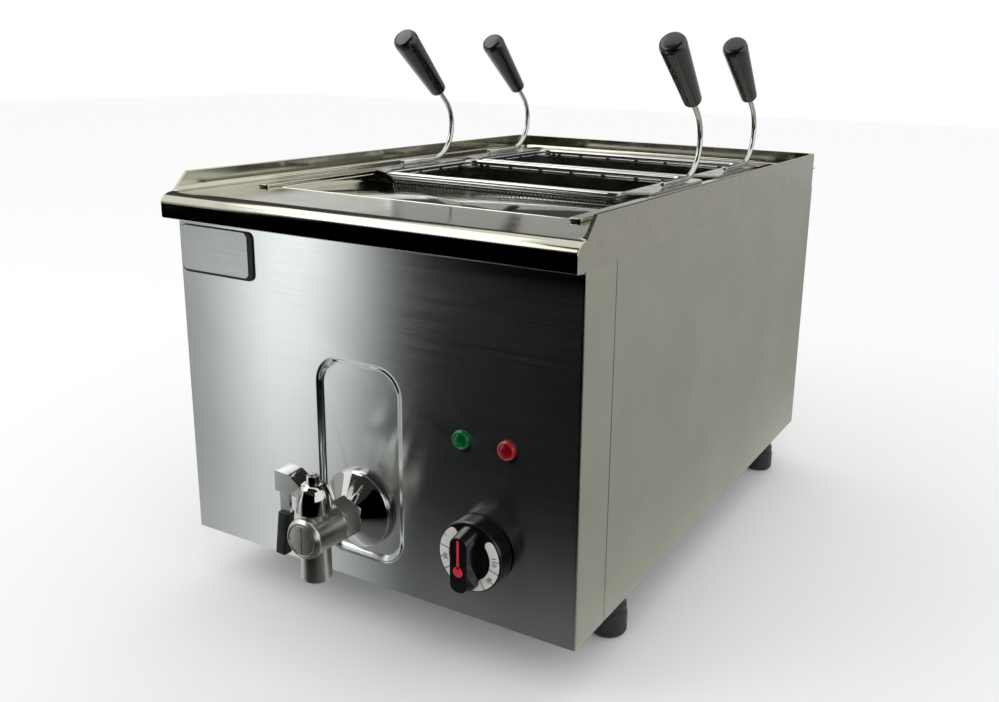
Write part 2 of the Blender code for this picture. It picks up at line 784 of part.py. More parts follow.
def nose_path():
    """Middle line of the sheet from the lip under the nose, round its quarter ellipse and along the deck."""
    half = FRAME_SHEET / 2
    low = BODY_HEIGHT + half
    long_half = NOSE_REACH - half - DECK_START_REACH
    tall_half = DECK_RISE - half - NOSE_FACE_HEIGHT
    path = [(-NOSE_LIP_CLEARANCE, low), (-NOSE_REACH + half, low)]
    for index in range(NOSE_STEPS + 1):
        angle = math.radians(90 * index / NOSE_STEPS)
        depth = -DECK_START_REACH - long_half * math.cos(angle)
        path.append((depth, BODY_HEIGHT + NOSE_FACE_HEIGHT + tall_half * math.sin(angle)))
    path.append((BODY_DEPTH - FRAME_WALL / 2, DECK_HEIGHT - half))
    return path


def frame_above_outline():
    """Space over the deck between the side walls."""
    front = -DECK_START_REACH - CUT_OVERRUN
    low = DECK_HEIGHT + DECK_STEP
    top = UPSTAND_HEIGHT + CUT_OVERRUN
    rear = BODY_DEPTH - FRAME_WALL
    return [(front, low), (rear, low), (rear, top), (front, top)]


def frame_under_outline():
    """Space under the deck and behind the nose, open at the underside."""
    path = nose_path()
    nose = sheet_outline(path, FRAME_SHEET)[len(path) :][::-1]
    below = BODY_HEIGHT - CUT_OVERRUN
    rear = BODY_DEPTH - FRAME_WALL
    return [(nose[0][0], below), *nose[:-1], (rear, nose[-1][1]), (rear, below)]


def make_top_frame(materials):
    """Welded top: bullnose, deck with well opening, turned-down lip, and upstand on three sides."""
    inner = (HALF_FRAME - FRAME_WALL) * 2
    frame = outline_solid("top_frame", frame_side_outline(), HALF_FRAME * 2, place(0, 0, 0), "profile")
    above = outline_solid("above_deck", frame_above_outline(), inner, place(0, 0, 0), "profile")
    below = outline_solid("under_deck", frame_under_outline(), inner, place(0, 0, 0), "profile")
    lip_top = DECK_HEIGHT - FRAME_SHEET / 2
    lip_low = DECK_HEIGHT - WELL_LIP_DROP
    lip_centre = place(0, 0, (lip_top + lip_low) / 2)
    lip = outline_solid("well_lip", well_outline(FRAME_SHEET), lip_top - lip_low, lip_centre, "plan")
    opening = outline_solid("well_opening", well_outline(0), BODY_HEIGHT / 2, place(0, 0, DECK_HEIGHT), "plan")
    frame = cut(join(cut(frame, above, below), lip), opening)
    return finish(frame, materials["frame"])


def well_outline(grow):
    """Plan outline of the well opening, grown by an amount."""
    half = WELL_WIDTH / 2 + grow
    return rounded_rectangle(-half, half, WELL_FRONT - grow, WELL_REAR + grow, WELL_CORNER + grow)


def make_rail(side_name, side, materials):
    """Flat rail beside the well that carries the basket flanges."""
    inner = WELL_WIDTH / 2 + RAIL_EDGE_SETBACK
    xs = sorted((side * inner, side * (inner + RAIL_WIDTH)))
    outline = rounded_rectangle(xs[0], xs[1], WELL_FRONT - RAIL_OVERRUN, WELL_REAR + RAIL_OVERRUN, RAIL_CORNER)
    centre = place(0, 0, RAIL_TOP - RAIL_THICKNESS / 2)
    rail = outline_solid(f"well_rail_{side_name}", outline, RAIL_THICKNESS, centre, "plan")
    return finish(rail, materials["frame"])


def tank_outline(shrink, radius_cut=0):
    """Plan outline of the tank's inner wall, drawn in by an amount."""
    half = TANK_HALF_WIDTH - shrink
    radius = WELL_CORNER + FRAME_SHEET + TOUCH_GAP + radius_cut
    return rounded_rectangle(-half, half, TANK_FRONT + shrink, TANK_REAR - shrink, radius)


def make_tank(materials):
    """Pressed tank with a flange under the deck, a rounded floor edge, a drain hole and wall holes."""
    sections = [plan_loop(tank_outline(-TANK_FLANGE), TANK_TOP), plan_loop(tank_outline(0), TANK_TOP)]
    for index in range(CORNER_STEPS + 1):
        angle = math.radians(90 * index / CORNER_STEPS)
        shrink = TANK_FLOOR_RADIUS * (1 - math.cos(angle))
        height = TANK_FLOOR_HEIGHT + TANK_FLOOR_RADIUS * (1 - math.sin(angle))
        sections.append(plan_loop(tank_outline(shrink), height))
    tank = thicken(loft("tank", sections, open_top=True), TANK_SHEET, outward=True)
    floor = (TANK_FLOOR_HEIGHT - TANK_SHEET - CUT_OVERRUN, TANK_FLOOR_HEIGHT + CUT_OVERRUN)
    wall = (TANK_FRONT - TANK_SHEET - CUT_OVERRUN, TANK_FRONT + CUT_OVERRUN)
    cutters = [post_between("drain_hole", TAP_X, PIPE_TANK_DEPTH, PIPE_BORE, floor, SMALL_ROUND_STEPS)]
    for side in (-1, 1):
        x = side * ELEMENT_HALF_SPAN
        radius = ELEMENT_RADIUS + CLEAR_FIT
        cutters.append(rod_between("element_hole", x, ELEMENT_HEIGHT, radius, wall, SMALL_ROUND_STEPS))
    x = KNOB_X - CAPILLARY_OFFSET
    radius = CAPILLARY_RADIUS + CLEAR_FIT
    cutters.append(rod_between("capillary_hole", x, BULB_HEIGHT, radius, wall, SMALL_ROUND_STEPS))
    return finish(cut(tank, *cutters), materials["bright"])


def drain_points(start_extra, end_extra):
    """Middle line of the drain pipe from under the tank floor to the back of the tap."""
    top = TANK_FLOOR_HEIGHT - TANK_SHEET - TOUCH_GAP + start_extra
    bend = arc((PIPE_TANK_DEPTH - PIPE_BEND, TAP_HEIGHT + PIPE_BEND), PIPE_BEND, 0, -90, ELEMENT_BEND_STEPS)
    path = [(PIPE_TANK_DEPTH, top), *bend, (-ROSETTE_REACH + TOUCH_GAP - end_extra, TAP_HEIGHT)]
    return [place(TAP_X, depth, height) for depth, height in path]


def make_drain_pipe(materials):
    """Bent pipe between the tank floor and the tap, with a collar under the floor."""
    pipe = tube("drain_pipe", drain_points(0, 0), PIPE_RADIUS, resolution=WIRE_SIDES + 2)
    top = TANK_FLOOR_HEIGHT - TANK_SHEET - TOUCH_GAP
    collar = post_between("collar", TAP_X, PIPE_TANK_DEPTH, PIPE_COLLAR_RADIUS, (top - PIPE_COLLAR_THICKNESS, top))
    bore = tube("bore", drain_points(CUT_OVERRUN, CUT_OVERRUN), PIPE_BORE, resolution=WIRE_SIDES + 2)
    return finish(cut(join(pipe, collar), bore), materials["brass"])


def make_rosette(materials):
    """Conical cover that hides the hole where the tap meets the panel."""
    back = -RECESS_DEPTH + TOUCH_GAP
    band = back + ROSETTE_BAND
    inner = ROSETTE_RADIUS - ROSETTE_WALL
    cone = ROSETTE_REACH - ROSETTE_NECK
    profile = [
        (ROSETTE_NECK_RADIUS, ROSETTE_REACH),
        (ROSETTE_NECK_RADIUS, cone),
        (ROSETTE_RADIUS - ROSETTE_EDGE, band + ROSETTE_EDGE / 2),
        (ROSETTE_RADIUS, band),
        (ROSETTE_RADIUS, back),
        (inner, back),
        (inner, band - ROSETTE_WALL),
        (ROSETTE_NECK_RADIUS - ROSETTE_WALL, cone - ROSETTE_WALL),
        (ROSETTE_NECK_RADIUS - ROSETTE_WALL, ROSETTE_REACH),
    ]
    rosette = turned("tap_rosette", profile, place(TAP_X, 0, TAP_HEIGHT), "front", closed=True)
    return finish(rosette, materials["chrome"])


def make_tap_body(materials):
    """Hexagon, barrel, front ring, spout and stem boss, bored for the ball and the water."""
    hex_back = ROSETTE_REACH + TOUCH_GAP
    hexagon = rod_between(
        "tap_body", TAP_X, TAP_HEIGHT, HEX_FLATS / 2 / math.cos(math.pi / 6), (-HEX_REACH, -hex_back), 6
    )
    barrel_front = TAP_REACH - TAP_RING_WIDTH
    barrel = [(0, TAP_REACH), (TAP_RING_RADIUS - TAP_RING_CHAMFER, TAP_REACH)]
    barrel += [(TAP_RING_RADIUS, TAP_REACH - TAP_RING_CHAMFER), (TAP_RING_RADIUS, barrel_front)]
    barrel += [(TAP_RADIUS, barrel_front), (TAP_RADIUS, HEX_REACH - TOUCH_GAP), (0, HEX_REACH - TOUCH_GAP)]
    barrel = turned("barrel", barrel, place(TAP_X, 0, TAP_HEIGHT), "front")
    foot = [(0, TAP_HEIGHT), (SPOUT_RADIUS, TAP_HEIGHT), (SPOUT_RADIUS, SPOUT_END_HEIGHT + SPOUT_CHAMFER)]
    foot += [(SPOUT_RADIUS - SPOUT_CHAMFER, SPOUT_END_HEIGHT), (0, SPOUT_END_HEIGHT)]
    spout = turned("spout", foot, place(TAP_X, -STEM_REACH, 0), "up")
    boss = post_between("boss", TAP_X, -STEM_REACH, STEM_BOSS_RADIUS, (TAP_HEIGHT, STEM_BOSS_TOP))
    body = join(hexagon, barrel, spout, boss)
    chamber_back = STEM_REACH - seat_offset() - SEAT_THICKNESS - TOUCH_GAP
    chamber = rod_between(
        "chamber", TAP_X, TAP_HEIGHT, CHAMBER_RADIUS, (-TAP_REACH - CUT_OVERRUN, -chamber_back)
    )
    inlet = rod_between(
        "inlet", TAP_X, TAP_HEIGHT, TAP_BORE, (-STEM_REACH, -hex_back + CUT_OVERRUN), SMALL_ROUND_STEPS
    )
    outlet = post_between(
        "outlet", TAP_X, -STEM_REACH, SPOUT_BORE, (SPOUT_END_HEIGHT - CUT_OVERRUN, TAP_HEIGHT), SMALL_ROUND_STEPS
    )
    stem_hole = post_between(
        "stem_hole",
        TAP_X,
        -STEM_REACH,
        STEM_RADIUS + CLEAR_FIT,
        (TAP_HEIGHT, STEM_BOSS_TOP + CUT_OVERRUN),
        SMALL_ROUND_STEPS,
    )
    return finish(cut(body, chamber, inlet, outlet, stem_hole), materials["satin_nickel"])


def seat_offset():
    """Distance from the ball's middle to the face of a seat that just clears it."""
    return math.sqrt(BALL_RADIUS**2 - TAP_BORE**2) + TOUCH_GAP


def make_tap_inside(materials):
    """Seats, ball, stem and slotted front plug."""
    pieces = {}
    seat_outer = CHAMBER_RADIUS - CLEAR_FIT
    for name, side in (("tap_seat_front", 1), ("tap_seat_rear", -1)):
        near = STEM_REACH + side * seat_offset()
        far = near + side * SEAT_THICKNESS
        high, low = max(near, far), min(near, far)
        profile = [(TAP_BORE, high), (seat_outer, high), (seat_outer, low), (TAP_BORE, low)]
        seat = turned(name, profile, place(TAP_X, 0, TAP_HEIGHT), "front", SMALL_ROUND_STEPS, closed=True)
        pieces[name] = finish(seat, materials["ptfe"])
    plug_back = STEM_REACH + seat_offset() + SEAT_THICKNESS + TOUCH_GAP
    plug_front = TAP_REACH - PLUG_RECESS
    plug = rod_between("tap_front_plug", TAP_X, TAP_HEIGHT, seat_outer, (-plug_front, -plug_back))
    slot = box(
        "slot",
        (TAP_X - PLUG_SLOT_WIDTH / 2, TAP_X + PLUG_SLOT_WIDTH / 2),
        (-plug_front - CUT_OVERRUN, -plug_front + PLUG_SLOT_DEPTH),
        (TAP_HEIGHT - CHAMBER_RADIUS, TAP_HEIGHT + CHAMBER_RADIUS),
    )
    pieces["plug"] = finish(cut(plug, slot), materials["chrome"])
    pieces["ball"] = make_ball(materials)
    pieces["stem"] = make_stem(materials)
    return pieces


def make_ball(materials):
    """Ball with an angled port, closed to the rear at rest."""
    centre = place(TAP_X, -STEM_REACH, TAP_HEIGHT)
    bm = bmesh.new()
    bmesh.ops.create_uvsphere(bm, u_segments=SMALL_ROUND_STEPS, v_segments=SMALL_ROUND_STEPS // 2, radius=BALL_RADIUS)
    bmesh.ops.translate(bm, vec=centre, verts=bm.verts)
    ball = mesh_object("tap_ball", bm)
    down = post_between(
        "down", TAP_X, -STEM_REACH, TAP_BORE, (TAP_HEIGHT - BALL_RADIUS - CUT_OVERRUN, TAP_HEIGHT), SMALL_ROUND_STEPS
    )
    reach = BALL_RADIUS + CUT_OVERRUN
    port = rod("port", centre + Vector((reach / 2, 0, 0)), TAP_BORE, reach, "side", SMALL_ROUND_STEPS)
    slot = box(
        "slot",
        (TAP_X - STEM_BLADE_WIDTH / 2 - CLEAR_FIT, TAP_X + STEM_BLADE_WIDTH / 2 + CLEAR_FIT),
        (-STEM_REACH - STEM_BLADE_THICKNESS / 2 - CLEAR_FIT, -STEM_REACH + STEM_BLADE_THICKNESS / 2 + CLEAR_FIT),
        (TAP_HEIGHT + BALL_RADIUS - STEM_BLADE_LENGTH - CLEAR_FIT, TAP_HEIGHT + BALL_RADIUS + CUT_OVERRUN),
    )
    return finish(cut(ball, port, down, slot), materials["chrome"])


def make_stem(materials):
    """Stem with a blade in the ball and a threaded end for the nut."""
    foot = TAP_HEIGHT + BALL_RADIUS + TOUCH_GAP
    stem = post_between("tap_stem", TAP_X, -STEM_REACH, STEM_RADIUS, (foot, STEM_BOSS_TOP), SMALL_ROUND_STEPS)
    thread = post_between(
        "thread",
        TAP_X,
        -STEM_REACH,
        STEM_THREAD_RADIUS,
        (STEM_BOSS_TOP - STEM_RADIUS, STEM_END_HEIGHT),
        SMALL_ROUND_STEPS,
    )
    blade = box(
        "blade",
        (TAP_X - STEM_BLADE_WIDTH / 2, TAP_X + STEM_BLADE_WIDTH / 2),
        (-STEM_REACH - STEM_BLADE_THICKNESS / 2, -STEM_REACH + STEM_BLADE_THICKNESS / 2),
        (TAP_HEIGHT + BALL_RADIUS - STEM_BLADE_LENGTH, foot + STEM_RADIUS),
    )
    return finish(join(stem, thread, blade), materials["satin_nickel"])


def make_hub():
    """Domed hub of the lever."""
    low = STEM_BOSS_TOP + TOUCH_GAP
    rise = HUB_TOP_HEIGHT - low - HUB_SKIRT
    profile = [(0, HUB_TOP_HEIGHT), (HUB_TOP_RADIUS, HUB_TOP_HEIGHT)]
    steps = CORNER_STEPS + 1
    for index in range(1, steps + 1):
        angle = math.radians(90 * index / steps)
        radius = HUB_TOP_RADIUS + (HUB_RADIUS - HUB_TOP_RADIUS) * math.sin(angle)
        profile.append((radius, HUB_TOP_HEIGHT - rise * (1 - math.cos(angle))))
    profile += [(HUB_RADIUS, low), (0, low)]
    return turned("hub", profile, place(TAP_X, -STEM_REACH, 0), "up")


def make_lever(materials):
    """Hub and channel-shaped arm, with the stem hole."""
    end = TAP_X - LEVER_REACH
    neck = TAP_X - LEVER_REACH * LEVER_NECK_SHARE
    skirt_low = LEVER_TOP_HEIGHT - LEVER_SKIRT
    hub_join = HUB_TOP_HEIGHT - LEVER_SHEET
    outline = [
        (end, LEVER_TOP_HEIGHT),
        (end, skirt_low),
        (neck, skirt_low),
        (TAP_X - HUB_TOP_RADIUS, skirt_low - LEVER_SHEET),
        (TAP_X - HUB_TOP_RADIUS, hub_join),
        (neck, LEVER_TOP_HEIGHT - LEVER_SHEET / 2),
    ]
    arm = outline_solid("tap_lever", outline, LEVER_WIDTH, place(0, -STEM_REACH, 0), "face")
    inside_depths = (-STEM_REACH - LEVER_WIDTH / 2 + LEVER_SHEET, -STEM_REACH + LEVER_WIDTH / 2 - LEVER_SHEET)
    channel = box(
        "channel",
        (end + LEVER_SHEET, TAP_X - HUB_RADIUS),
        inside_depths,
        (skirt_low - CUT_OVERRUN, LEVER_TOP_HEIGHT - LEVER_SHEET * 2),
    )
    lever = join(cut(arm, channel), make_hub())
    stem_hole = post_between(
        "stem_hole",
        TAP_X,
        -STEM_REACH,
        STEM_THREAD_RADIUS + CLEAR_FIT,
        (STEM_BOSS_TOP - CUT_OVERRUN, HUB_TOP_HEIGHT + CUT_OVERRUN),
        SMALL_ROUND_STEPS,
    )
    return finish(cut(lever, stem_hole), materials["chrome"])


def make_lever_nut(materials):
    """Hexagon nut that clamps the lever."""
    low = HUB_TOP_HEIGHT + TOUCH_GAP
    radius = LEVER_NUT_FLATS / 2 / math.cos(math.pi / 6)
    nut = post_between("tap_lever_nut", TAP_X, -STEM_REACH, radius, (low, low + LEVER_NUT_THICKNESS), 6)
    hole = post_between(
        "hole",
        TAP_X,
        -STEM_REACH,
        STEM_THREAD_RADIUS + CLEAR_FIT,
        (low - CUT_OVERRUN, low + LEVER_NUT_THICKNESS + CUT_OVERRUN),
        SMALL_ROUND_STEPS,
    )
    return finish(cut(nut, hole), materials["chrome"])


def tang_centre(height):
    """X of the tang's middle, which leans outward below the lever."""
    top_x = TAP_X - LEVER_REACH + LEVER_SHEET + TOUCH_GAP + TANG_WIDTH / 2
    if height >= SLEEVE_TOP_HEIGHT:
        return top_x
    share = (SLEEVE_TOP_HEIGHT - height) / (SLEEVE_TOP_HEIGHT - SLEEVE_END_HEIGHT)
    return top_x - SLEEVE_LEAN * share


def make_tang(materials):
    """Flat strip that hangs from the lever into the sleeve."""
    top = LEVER_TOP_HEIGHT - LEVER_SHEET * 2 - TOUCH_GAP
    heights = (top, SLEEVE_TOP_HEIGHT, TANG_END_HEIGHT)
    left = [(tang_centre(height) - TANG_WIDTH / 2, height) for height in heights]
    right = [(tang_centre(height) + TANG_WIDTH / 2, height) for height in heights]
    depth = tang_depth()
    tang = outline_solid("tap_lever_tang", left + right[::-1], TANG_THICKNESS, place(0, depth, 0), "face")
    return finish(tang, materials["chrome"])


def tang_depth():
    """Depth of the tang's middle, just behind the lever's front flange."""
    return -STEM_REACH - LEVER_WIDTH / 2 + LEVER_SHEET + TOUCH_GAP + TANG_THICKNESS / 2


def make_lever_sleeve(materials):
    """Plastic sleeve over the tang."""
    depth = tang_depth()
    sections = []
    heights = (SLEEVE_TOP_HEIGHT, SLEEVE_END_HEIGHT + SLEEVE_EDGE, SLEEVE_END_HEIGHT)
    insets = (0, 0, SLEEVE_EDGE)
    for height, inset in zip(heights, insets):
        half = SLEEVE_WIDTH / 2 - inset
        deep = SLEEVE_THICKNESS / 2 - inset
        centre = tang_centre(height)
        outline = rounded_rectangle(centre - half, centre + half, depth - deep, depth + deep, SLEEVE_EDGE)
        sections.append(plan_loop(outline, height))
    sleeve = loft("tap_lever_sleeve", sections)
    low = TANG_END_HEIGHT - TOUCH_GAP
    high = SLEEVE_TOP_HEIGHT + CUT_OVERRUN
    pocket_sections = []
    for height in (high, SLEEVE_TOP_HEIGHT, low):
        centre = tang_centre(height)
        half = TANG_WIDTH / 2 + CLEAR_FIT
        deep = TANG_THICKNESS / 2 + CLEAR_FIT
        corners = [(centre + half, depth + deep), (centre - half, depth + deep)]
        corners += [(centre - half, depth - deep), (centre + half, depth - deep)]
        pocket_sections.append(plan_loop(corners, height))
    pocket = loft("pocket", pocket_sections)
    return finish(cut(sleeve, pocket), materials["black_matt"])


def make_knob(materials):
    """Dial with a hollow back, a hub for the spindle and a raised grip bar."""
    floor = KNOB_REACH - KNOB_WALL
    profile = [
        (0, KNOB_REACH),
        (KNOB_RADIUS - KNOB_CHAMFER, KNOB_REACH),
        (KNOB_RADIUS, KNOB_REACH - KNOB_CHAMFER),
        (KNOB_RADIUS, KNOB_BACK_GAP),
        (KNOB_RADIUS - KNOB_WALL, KNOB_BACK_GAP),
        (KNOB_RADIUS - KNOB_WALL, floor),
        (KNOB_HUB_RADIUS, floor),
        (KNOB_HUB_RADIUS, KNOB_BACK_GAP),
        (0, KNOB_BACK_GAP),
    ]
    dial = turned("knob", profile, place(KNOB_X, 0, KNOB_HEIGHT), "front")
    sections = []
    for reach, share in ((floor + KNOB_WALL / 2, 1), (KNOB_BAR_REACH, KNOB_BAR_DRAFT_SHARE)):
        half = KNOB_BAR_WIDTH / 2 * share
        tall = KNOB_BAR_LENGTH / 2 * share
        outline = rounded_rectangle(KNOB_X - half, KNOB_X + half, KNOB_HEIGHT - tall, KNOB_HEIGHT + tall, half / 2)
        sections.append(face_loop(outline, -reach))
    bar = loft("bar", sections)
    bore = rod_between(
        "bore",
        KNOB_X,
        KNOB_HEIGHT,
        SPINDLE_RADIUS + CLEAR_FIT,
        (-SPINDLE_REACH - CLEAR_FIT, CUT_OVERRUN),
        SMALL_ROUND_STEPS,
    )
    return finish(cut(join(dial, bar), bore), materials["black_gloss"])


def make_thermostat(materials):
    """Thermostat body, spindle, and capillary with its bulb in the tank."""
    front = SHEET + TOUCH_GAP
    half = THERMOSTAT_WIDTH / 2
    tall = THERMOSTAT_HEIGHT / 2
    body = box(
        "thermostat_body",
        (KNOB_X - half, KNOB_X + half),
        (front, front + THERMOSTAT_DEPTH),
        (KNOB_HEIGHT - tall, KNOB_HEIGHT + tall),
    )
    ears = THERMOSTAT_FLANGE_WIDTH / 2
    flange = box(
        "flange",
        (KNOB_X - ears, KNOB_X + ears),
        (front, front + THERMOSTAT_FLANGE_THICKNESS),
        (KNOB_HEIGHT - tall / 2, KNOB_HEIGHT + tall / 2),
    )
    bore = rod_between(
        "bore",
        KNOB_X,
        KNOB_HEIGHT,
        SPINDLE_RADIUS + CLEAR_FIT,
        (-CUT_OVERRUN, SPINDLE_INSIDE + CLEAR_FIT),
        SMALL_ROUND_STEPS,
    )
    body = finish(cut(join(body, flange), bore), materials["grey_plastic"])
    spindle = rod_between(
        "thermostat_spindle", KNOB_X, KNOB_HEIGHT, SPINDLE_RADIUS, (-SPINDLE_REACH, SPINDLE_INSIDE), SMALL_ROUND_STEPS
    )
    spindle = finish(spindle, materials["galvanised"])
    return body, spindle, make_bulb(materials)


def make_bulb(materials):
    """Capillary from the thermostat through the tank wall, ending in the bulb."""
    x = KNOB_X - CAPILLARY_OFFSET
    start = SHEET + TOUCH_GAP + THERMOSTAT_DEPTH + TOUCH_GAP
    rise = start + CAPILLARY_BACK
    inside = TANK_FRONT + BULB_BACK
    path = [(x, start, KNOB_HEIGHT), (x, rise, KNOB_HEIGHT), (x, rise, BULB_HEIGHT), (x, inside, BULB_HEIGHT)]
    corners = rounded_space_path(path, CAPILLARY_BACK / 2)
    share = BULB_RADIUS / CAPILLARY_RADIUS
    points = [place(*point) for point in corners]
    radii = [1] * len(points)
    turn = x - BULB_TAPER
    points += [place(turn, inside, BULB_HEIGHT), place(turn - BULB_TAPER / 2, inside, BULB_HEIGHT)]
    radii += [1, share]
    points += [place(turn - BULB_LENGTH, inside, BULB_HEIGHT)]
    radii += [share]
    bulb = tube("thermostat_bulb", points, CAPILLARY_RADIUS, radii)
    return finish(bulb, materials["copper"])


def rounded_space_path(points, radius):
    """Polyline in space with each inner corner cut by an arc of three points."""
    result = [points[0]]
    for before, corner, after in zip(points, points[1:], points[2:]):
        centre = Vector(corner)
        back = centre + (Vector(before) - centre).normalized() * radius
        ahead = centre + (Vector(after) - centre).normalized() * radius
        result += [tuple(back), tuple((back + ahead + centre) / 3), tuple(ahead)]
    result.append(points[-1])
    return result


def make_lamp(colour, x, materials):
    """Pilot lamp: coloured lens in front, barrel with collar and two tabs behind."""
    rim = TOUCH_GAP + LAMP_RIM
    profile = [(0, rim + LAMP_DOME)]
    for index in range(1, CORNER_STEPS + 1):
        angle = math.radians(90 * index / CORNER_STEPS)
        profile.append((LAMP_BARREL_RADIUS * math.sin(angle), rim + LAMP_DOME * math.cos(angle)))
    profile += [(LAMP_RADIUS, rim), (LAMP_RADIUS, TOUCH_GAP), (0, TOUCH_GAP)]
    lens = turned(f"lamp_{colour}_lens", profile, place(x, 0, LAMP_HEIGHT), "front", SMALL_ROUND_STEPS)
    lens = finish(lens, materials[f"{colour}_lens"])
    barrel = rod_between(
        f"lamp_{colour}_body", x, LAMP_HEIGHT, LAMP_BARREL_RADIUS, (0, LAMP_BARREL_LENGTH), SMALL_ROUND_STEPS
    )
    collar_start = SHEET + TOUCH_GAP
    collar = rod_between(
        "collar",
        x,
        LAMP_HEIGHT,
        LAMP_COLLAR_RADIUS,
        (collar_start, collar_start + LAMP_COLLAR_THICKNESS),
        SMALL_ROUND_STEPS,
    )
    tabs = []
    for side in (-1, 1):
        centre = x + side * LAMP_TAB_SPACING / 2
        tabs.append(
            box(
                "tab",
                (centre - LAMP_TAB_THICKNESS / 2, centre + LAMP_TAB_THICKNESS / 2),
                (LAMP_BARREL_LENGTH - CUT_OVERRUN, LAMP_BARREL_LENGTH + LAMP_TAB_LENGTH),
                (LAMP_HEIGHT - LAMP_TAB_WIDTH / 2, LAMP_HEIGHT + LAMP_TAB_WIDTH / 2),
            )
        )
    return lens, finish(join(barrel, collar, *tabs), materials["black_matt"])


def make_nameplate(materials):
    """Bare plate under the nose: dark carrier and plain metal face."""
    right = PLATE_LEFT + PLATE_WIDTH
    top = PLATE_BOTTOM + PLATE_HEIGHT
    outline = rounded_rectangle(PLATE_LEFT, right, PLATE_BOTTOM, top, PLATE_CORNER)
    centre = place(0, -TOUCH_GAP - PLATE_THICKNESS / 2, 0)
    base = outline_solid("nameplate_base", outline, PLATE_THICKNESS, centre, "face")
    face_outline = rounded_rectangle(
        PLATE_LEFT + PLATE_BORDER,
        right - PLATE_BORDER_RIGHT,
        PLATE_BOTTOM + PLATE_BORDER,
        top - PLATE_BORDER,
        PLATE_CORNER - PLATE_BORDER,
    )
    face_depth = -TOUCH_GAP - PLATE_THICKNESS - TOUCH_GAP - PLATE_FACE_THICKNESS / 2
    face = outline_solid("nameplate_face", face_outline, PLATE_FACE_THICKNESS, place(0, face_depth, 0), "face")
    return finish(base, materials["black_matt"]), finish(face, materials["plate_face"])


def make_element(materials):
    """Tubular element in long runs over the tank floor, with a collar outside the wall at each end."""
    front = TANK_FRONT + ELEMENT_FRONT_SETBACK
    rear = TANK_REAR - ELEMENT_REAR_SETBACK
    pitch = ELEMENT_HALF_SPAN * 2 / (ELEMENT_RUNS - 1)
    outside = TANK_FRONT - ELEMENT_END_REACH
    path = [(-ELEMENT_HALF_SPAN, outside)]
    for run in range(ELEMENT_RUNS - 1):
        middle = -ELEMENT_HALF_SPAN + pitch * (run + 1 / 2)
        forward = run % 2 == 0
        centre = (middle, rear - pitch / 2 if forward else front + pitch / 2)
        angles = (180, 0) if forward else (180, 360)
        path += arc(centre, pitch / 2, *angles, ELEMENT_BEND_STEPS)
    path.append((ELEMENT_HALF_SPAN, outside))
    points = [place(x, depth, ELEMENT_HEIGHT) for x, depth in path]
    element = tube("heating_element", points, ELEMENT_RADIUS)
    wall_back = TANK_FRONT - TANK_SHEET - TOUCH_GAP
    collars = []
    for side in (-1, 1):
        depths = (wall_back - ELEMENT_COLLAR_LENGTH, wall_back)
        x = side * ELEMENT_HALF_SPAN
        collars.append(rod_between("collar", x, ELEMENT_HEIGHT, ELEMENT_COLLAR_RADIUS, depths, SMALL_ROUND_STEPS))
    return finish(join(element, *collars), materials["incoloy"])


def make_grid(materials):
    """Slotted plate with turned-down sides that stands on the tank floor over the element."""
    half = GRID_WIDTH / 2 - GRID_SHEET / 2
    low = TANK_FLOOR_HEIGHT + TOUCH_GAP
    top = GRID_HEIGHT - GRID_SHEET / 2
    path = [(-half, low), (-half, top), (half, top), (half, low)]
    outline = sheet_outline(rounded_path(path, BEND_RADIUS, 2), GRID_SHEET)
    front = TANK_FRONT + TANK_FLOOR_RADIUS + GRID_SETBACK
    rear = TANK_REAR - TANK_FLOOR_RADIUS - GRID_SETBACK
    grid = outline_solid("support_grid", outline, rear - front, place(0, (front + rear) / 2, 0), "face")
    pitch = (rear - front) / GRID_SLOTS
    slots = []
    for index in range(GRID_SLOTS):
        middle = front + pitch * (index + 1 / 2)
        slots.append(
            box(
                "slot",
                (-GRID_SLOT_LENGTH / 2, GRID_SLOT_LENGTH / 2),
                (middle - GRID_SLOT_WIDTH / 2, middle + GRID_SLOT_WIDTH / 2),
                (GRID_HEIGHT - GRID_SHEET - CUT_OVERRUN, GRID_HEIGHT + CUT_OVERRUN),
            )
        )
    return finish(cut(grid, *slots), materials["bright"])


def make_cutout(materials):
    """Disc thermostat held under the tank floor, with two tabs."""
    top = TANK_FLOOR_HEIGHT - TANK_SHEET - TOUCH_GAP
    low = top - CUTOUT_THICKNESS
    disc = post_between("overheat_cutout", CUTOUT_X, CUTOUT_DEPTH, CUTOUT_RADIUS, (low, top), SMALL_ROUND_STEPS)
    tabs = []
    for side in (-1, 1):
        centre = CUTOUT_X + side * LAMP_TAB_SPACING / 2
        tabs.append(
            box(
                "tab",
                (centre - LAMP_TAB_THICKNESS / 2, centre + LAMP_TAB_THICKNESS / 2),
                (CUTOUT_DEPTH - LAMP_TAB_WIDTH / 2, CUTOUT_DEPTH + LAMP_TAB_WIDTH / 2),
                (low - CUTOUT_TAB_LENGTH, low + CUTOUT_THICKNESS / 2),
            )
        )
    return finish(join(disc, *tabs), materials["grey_plastic"])


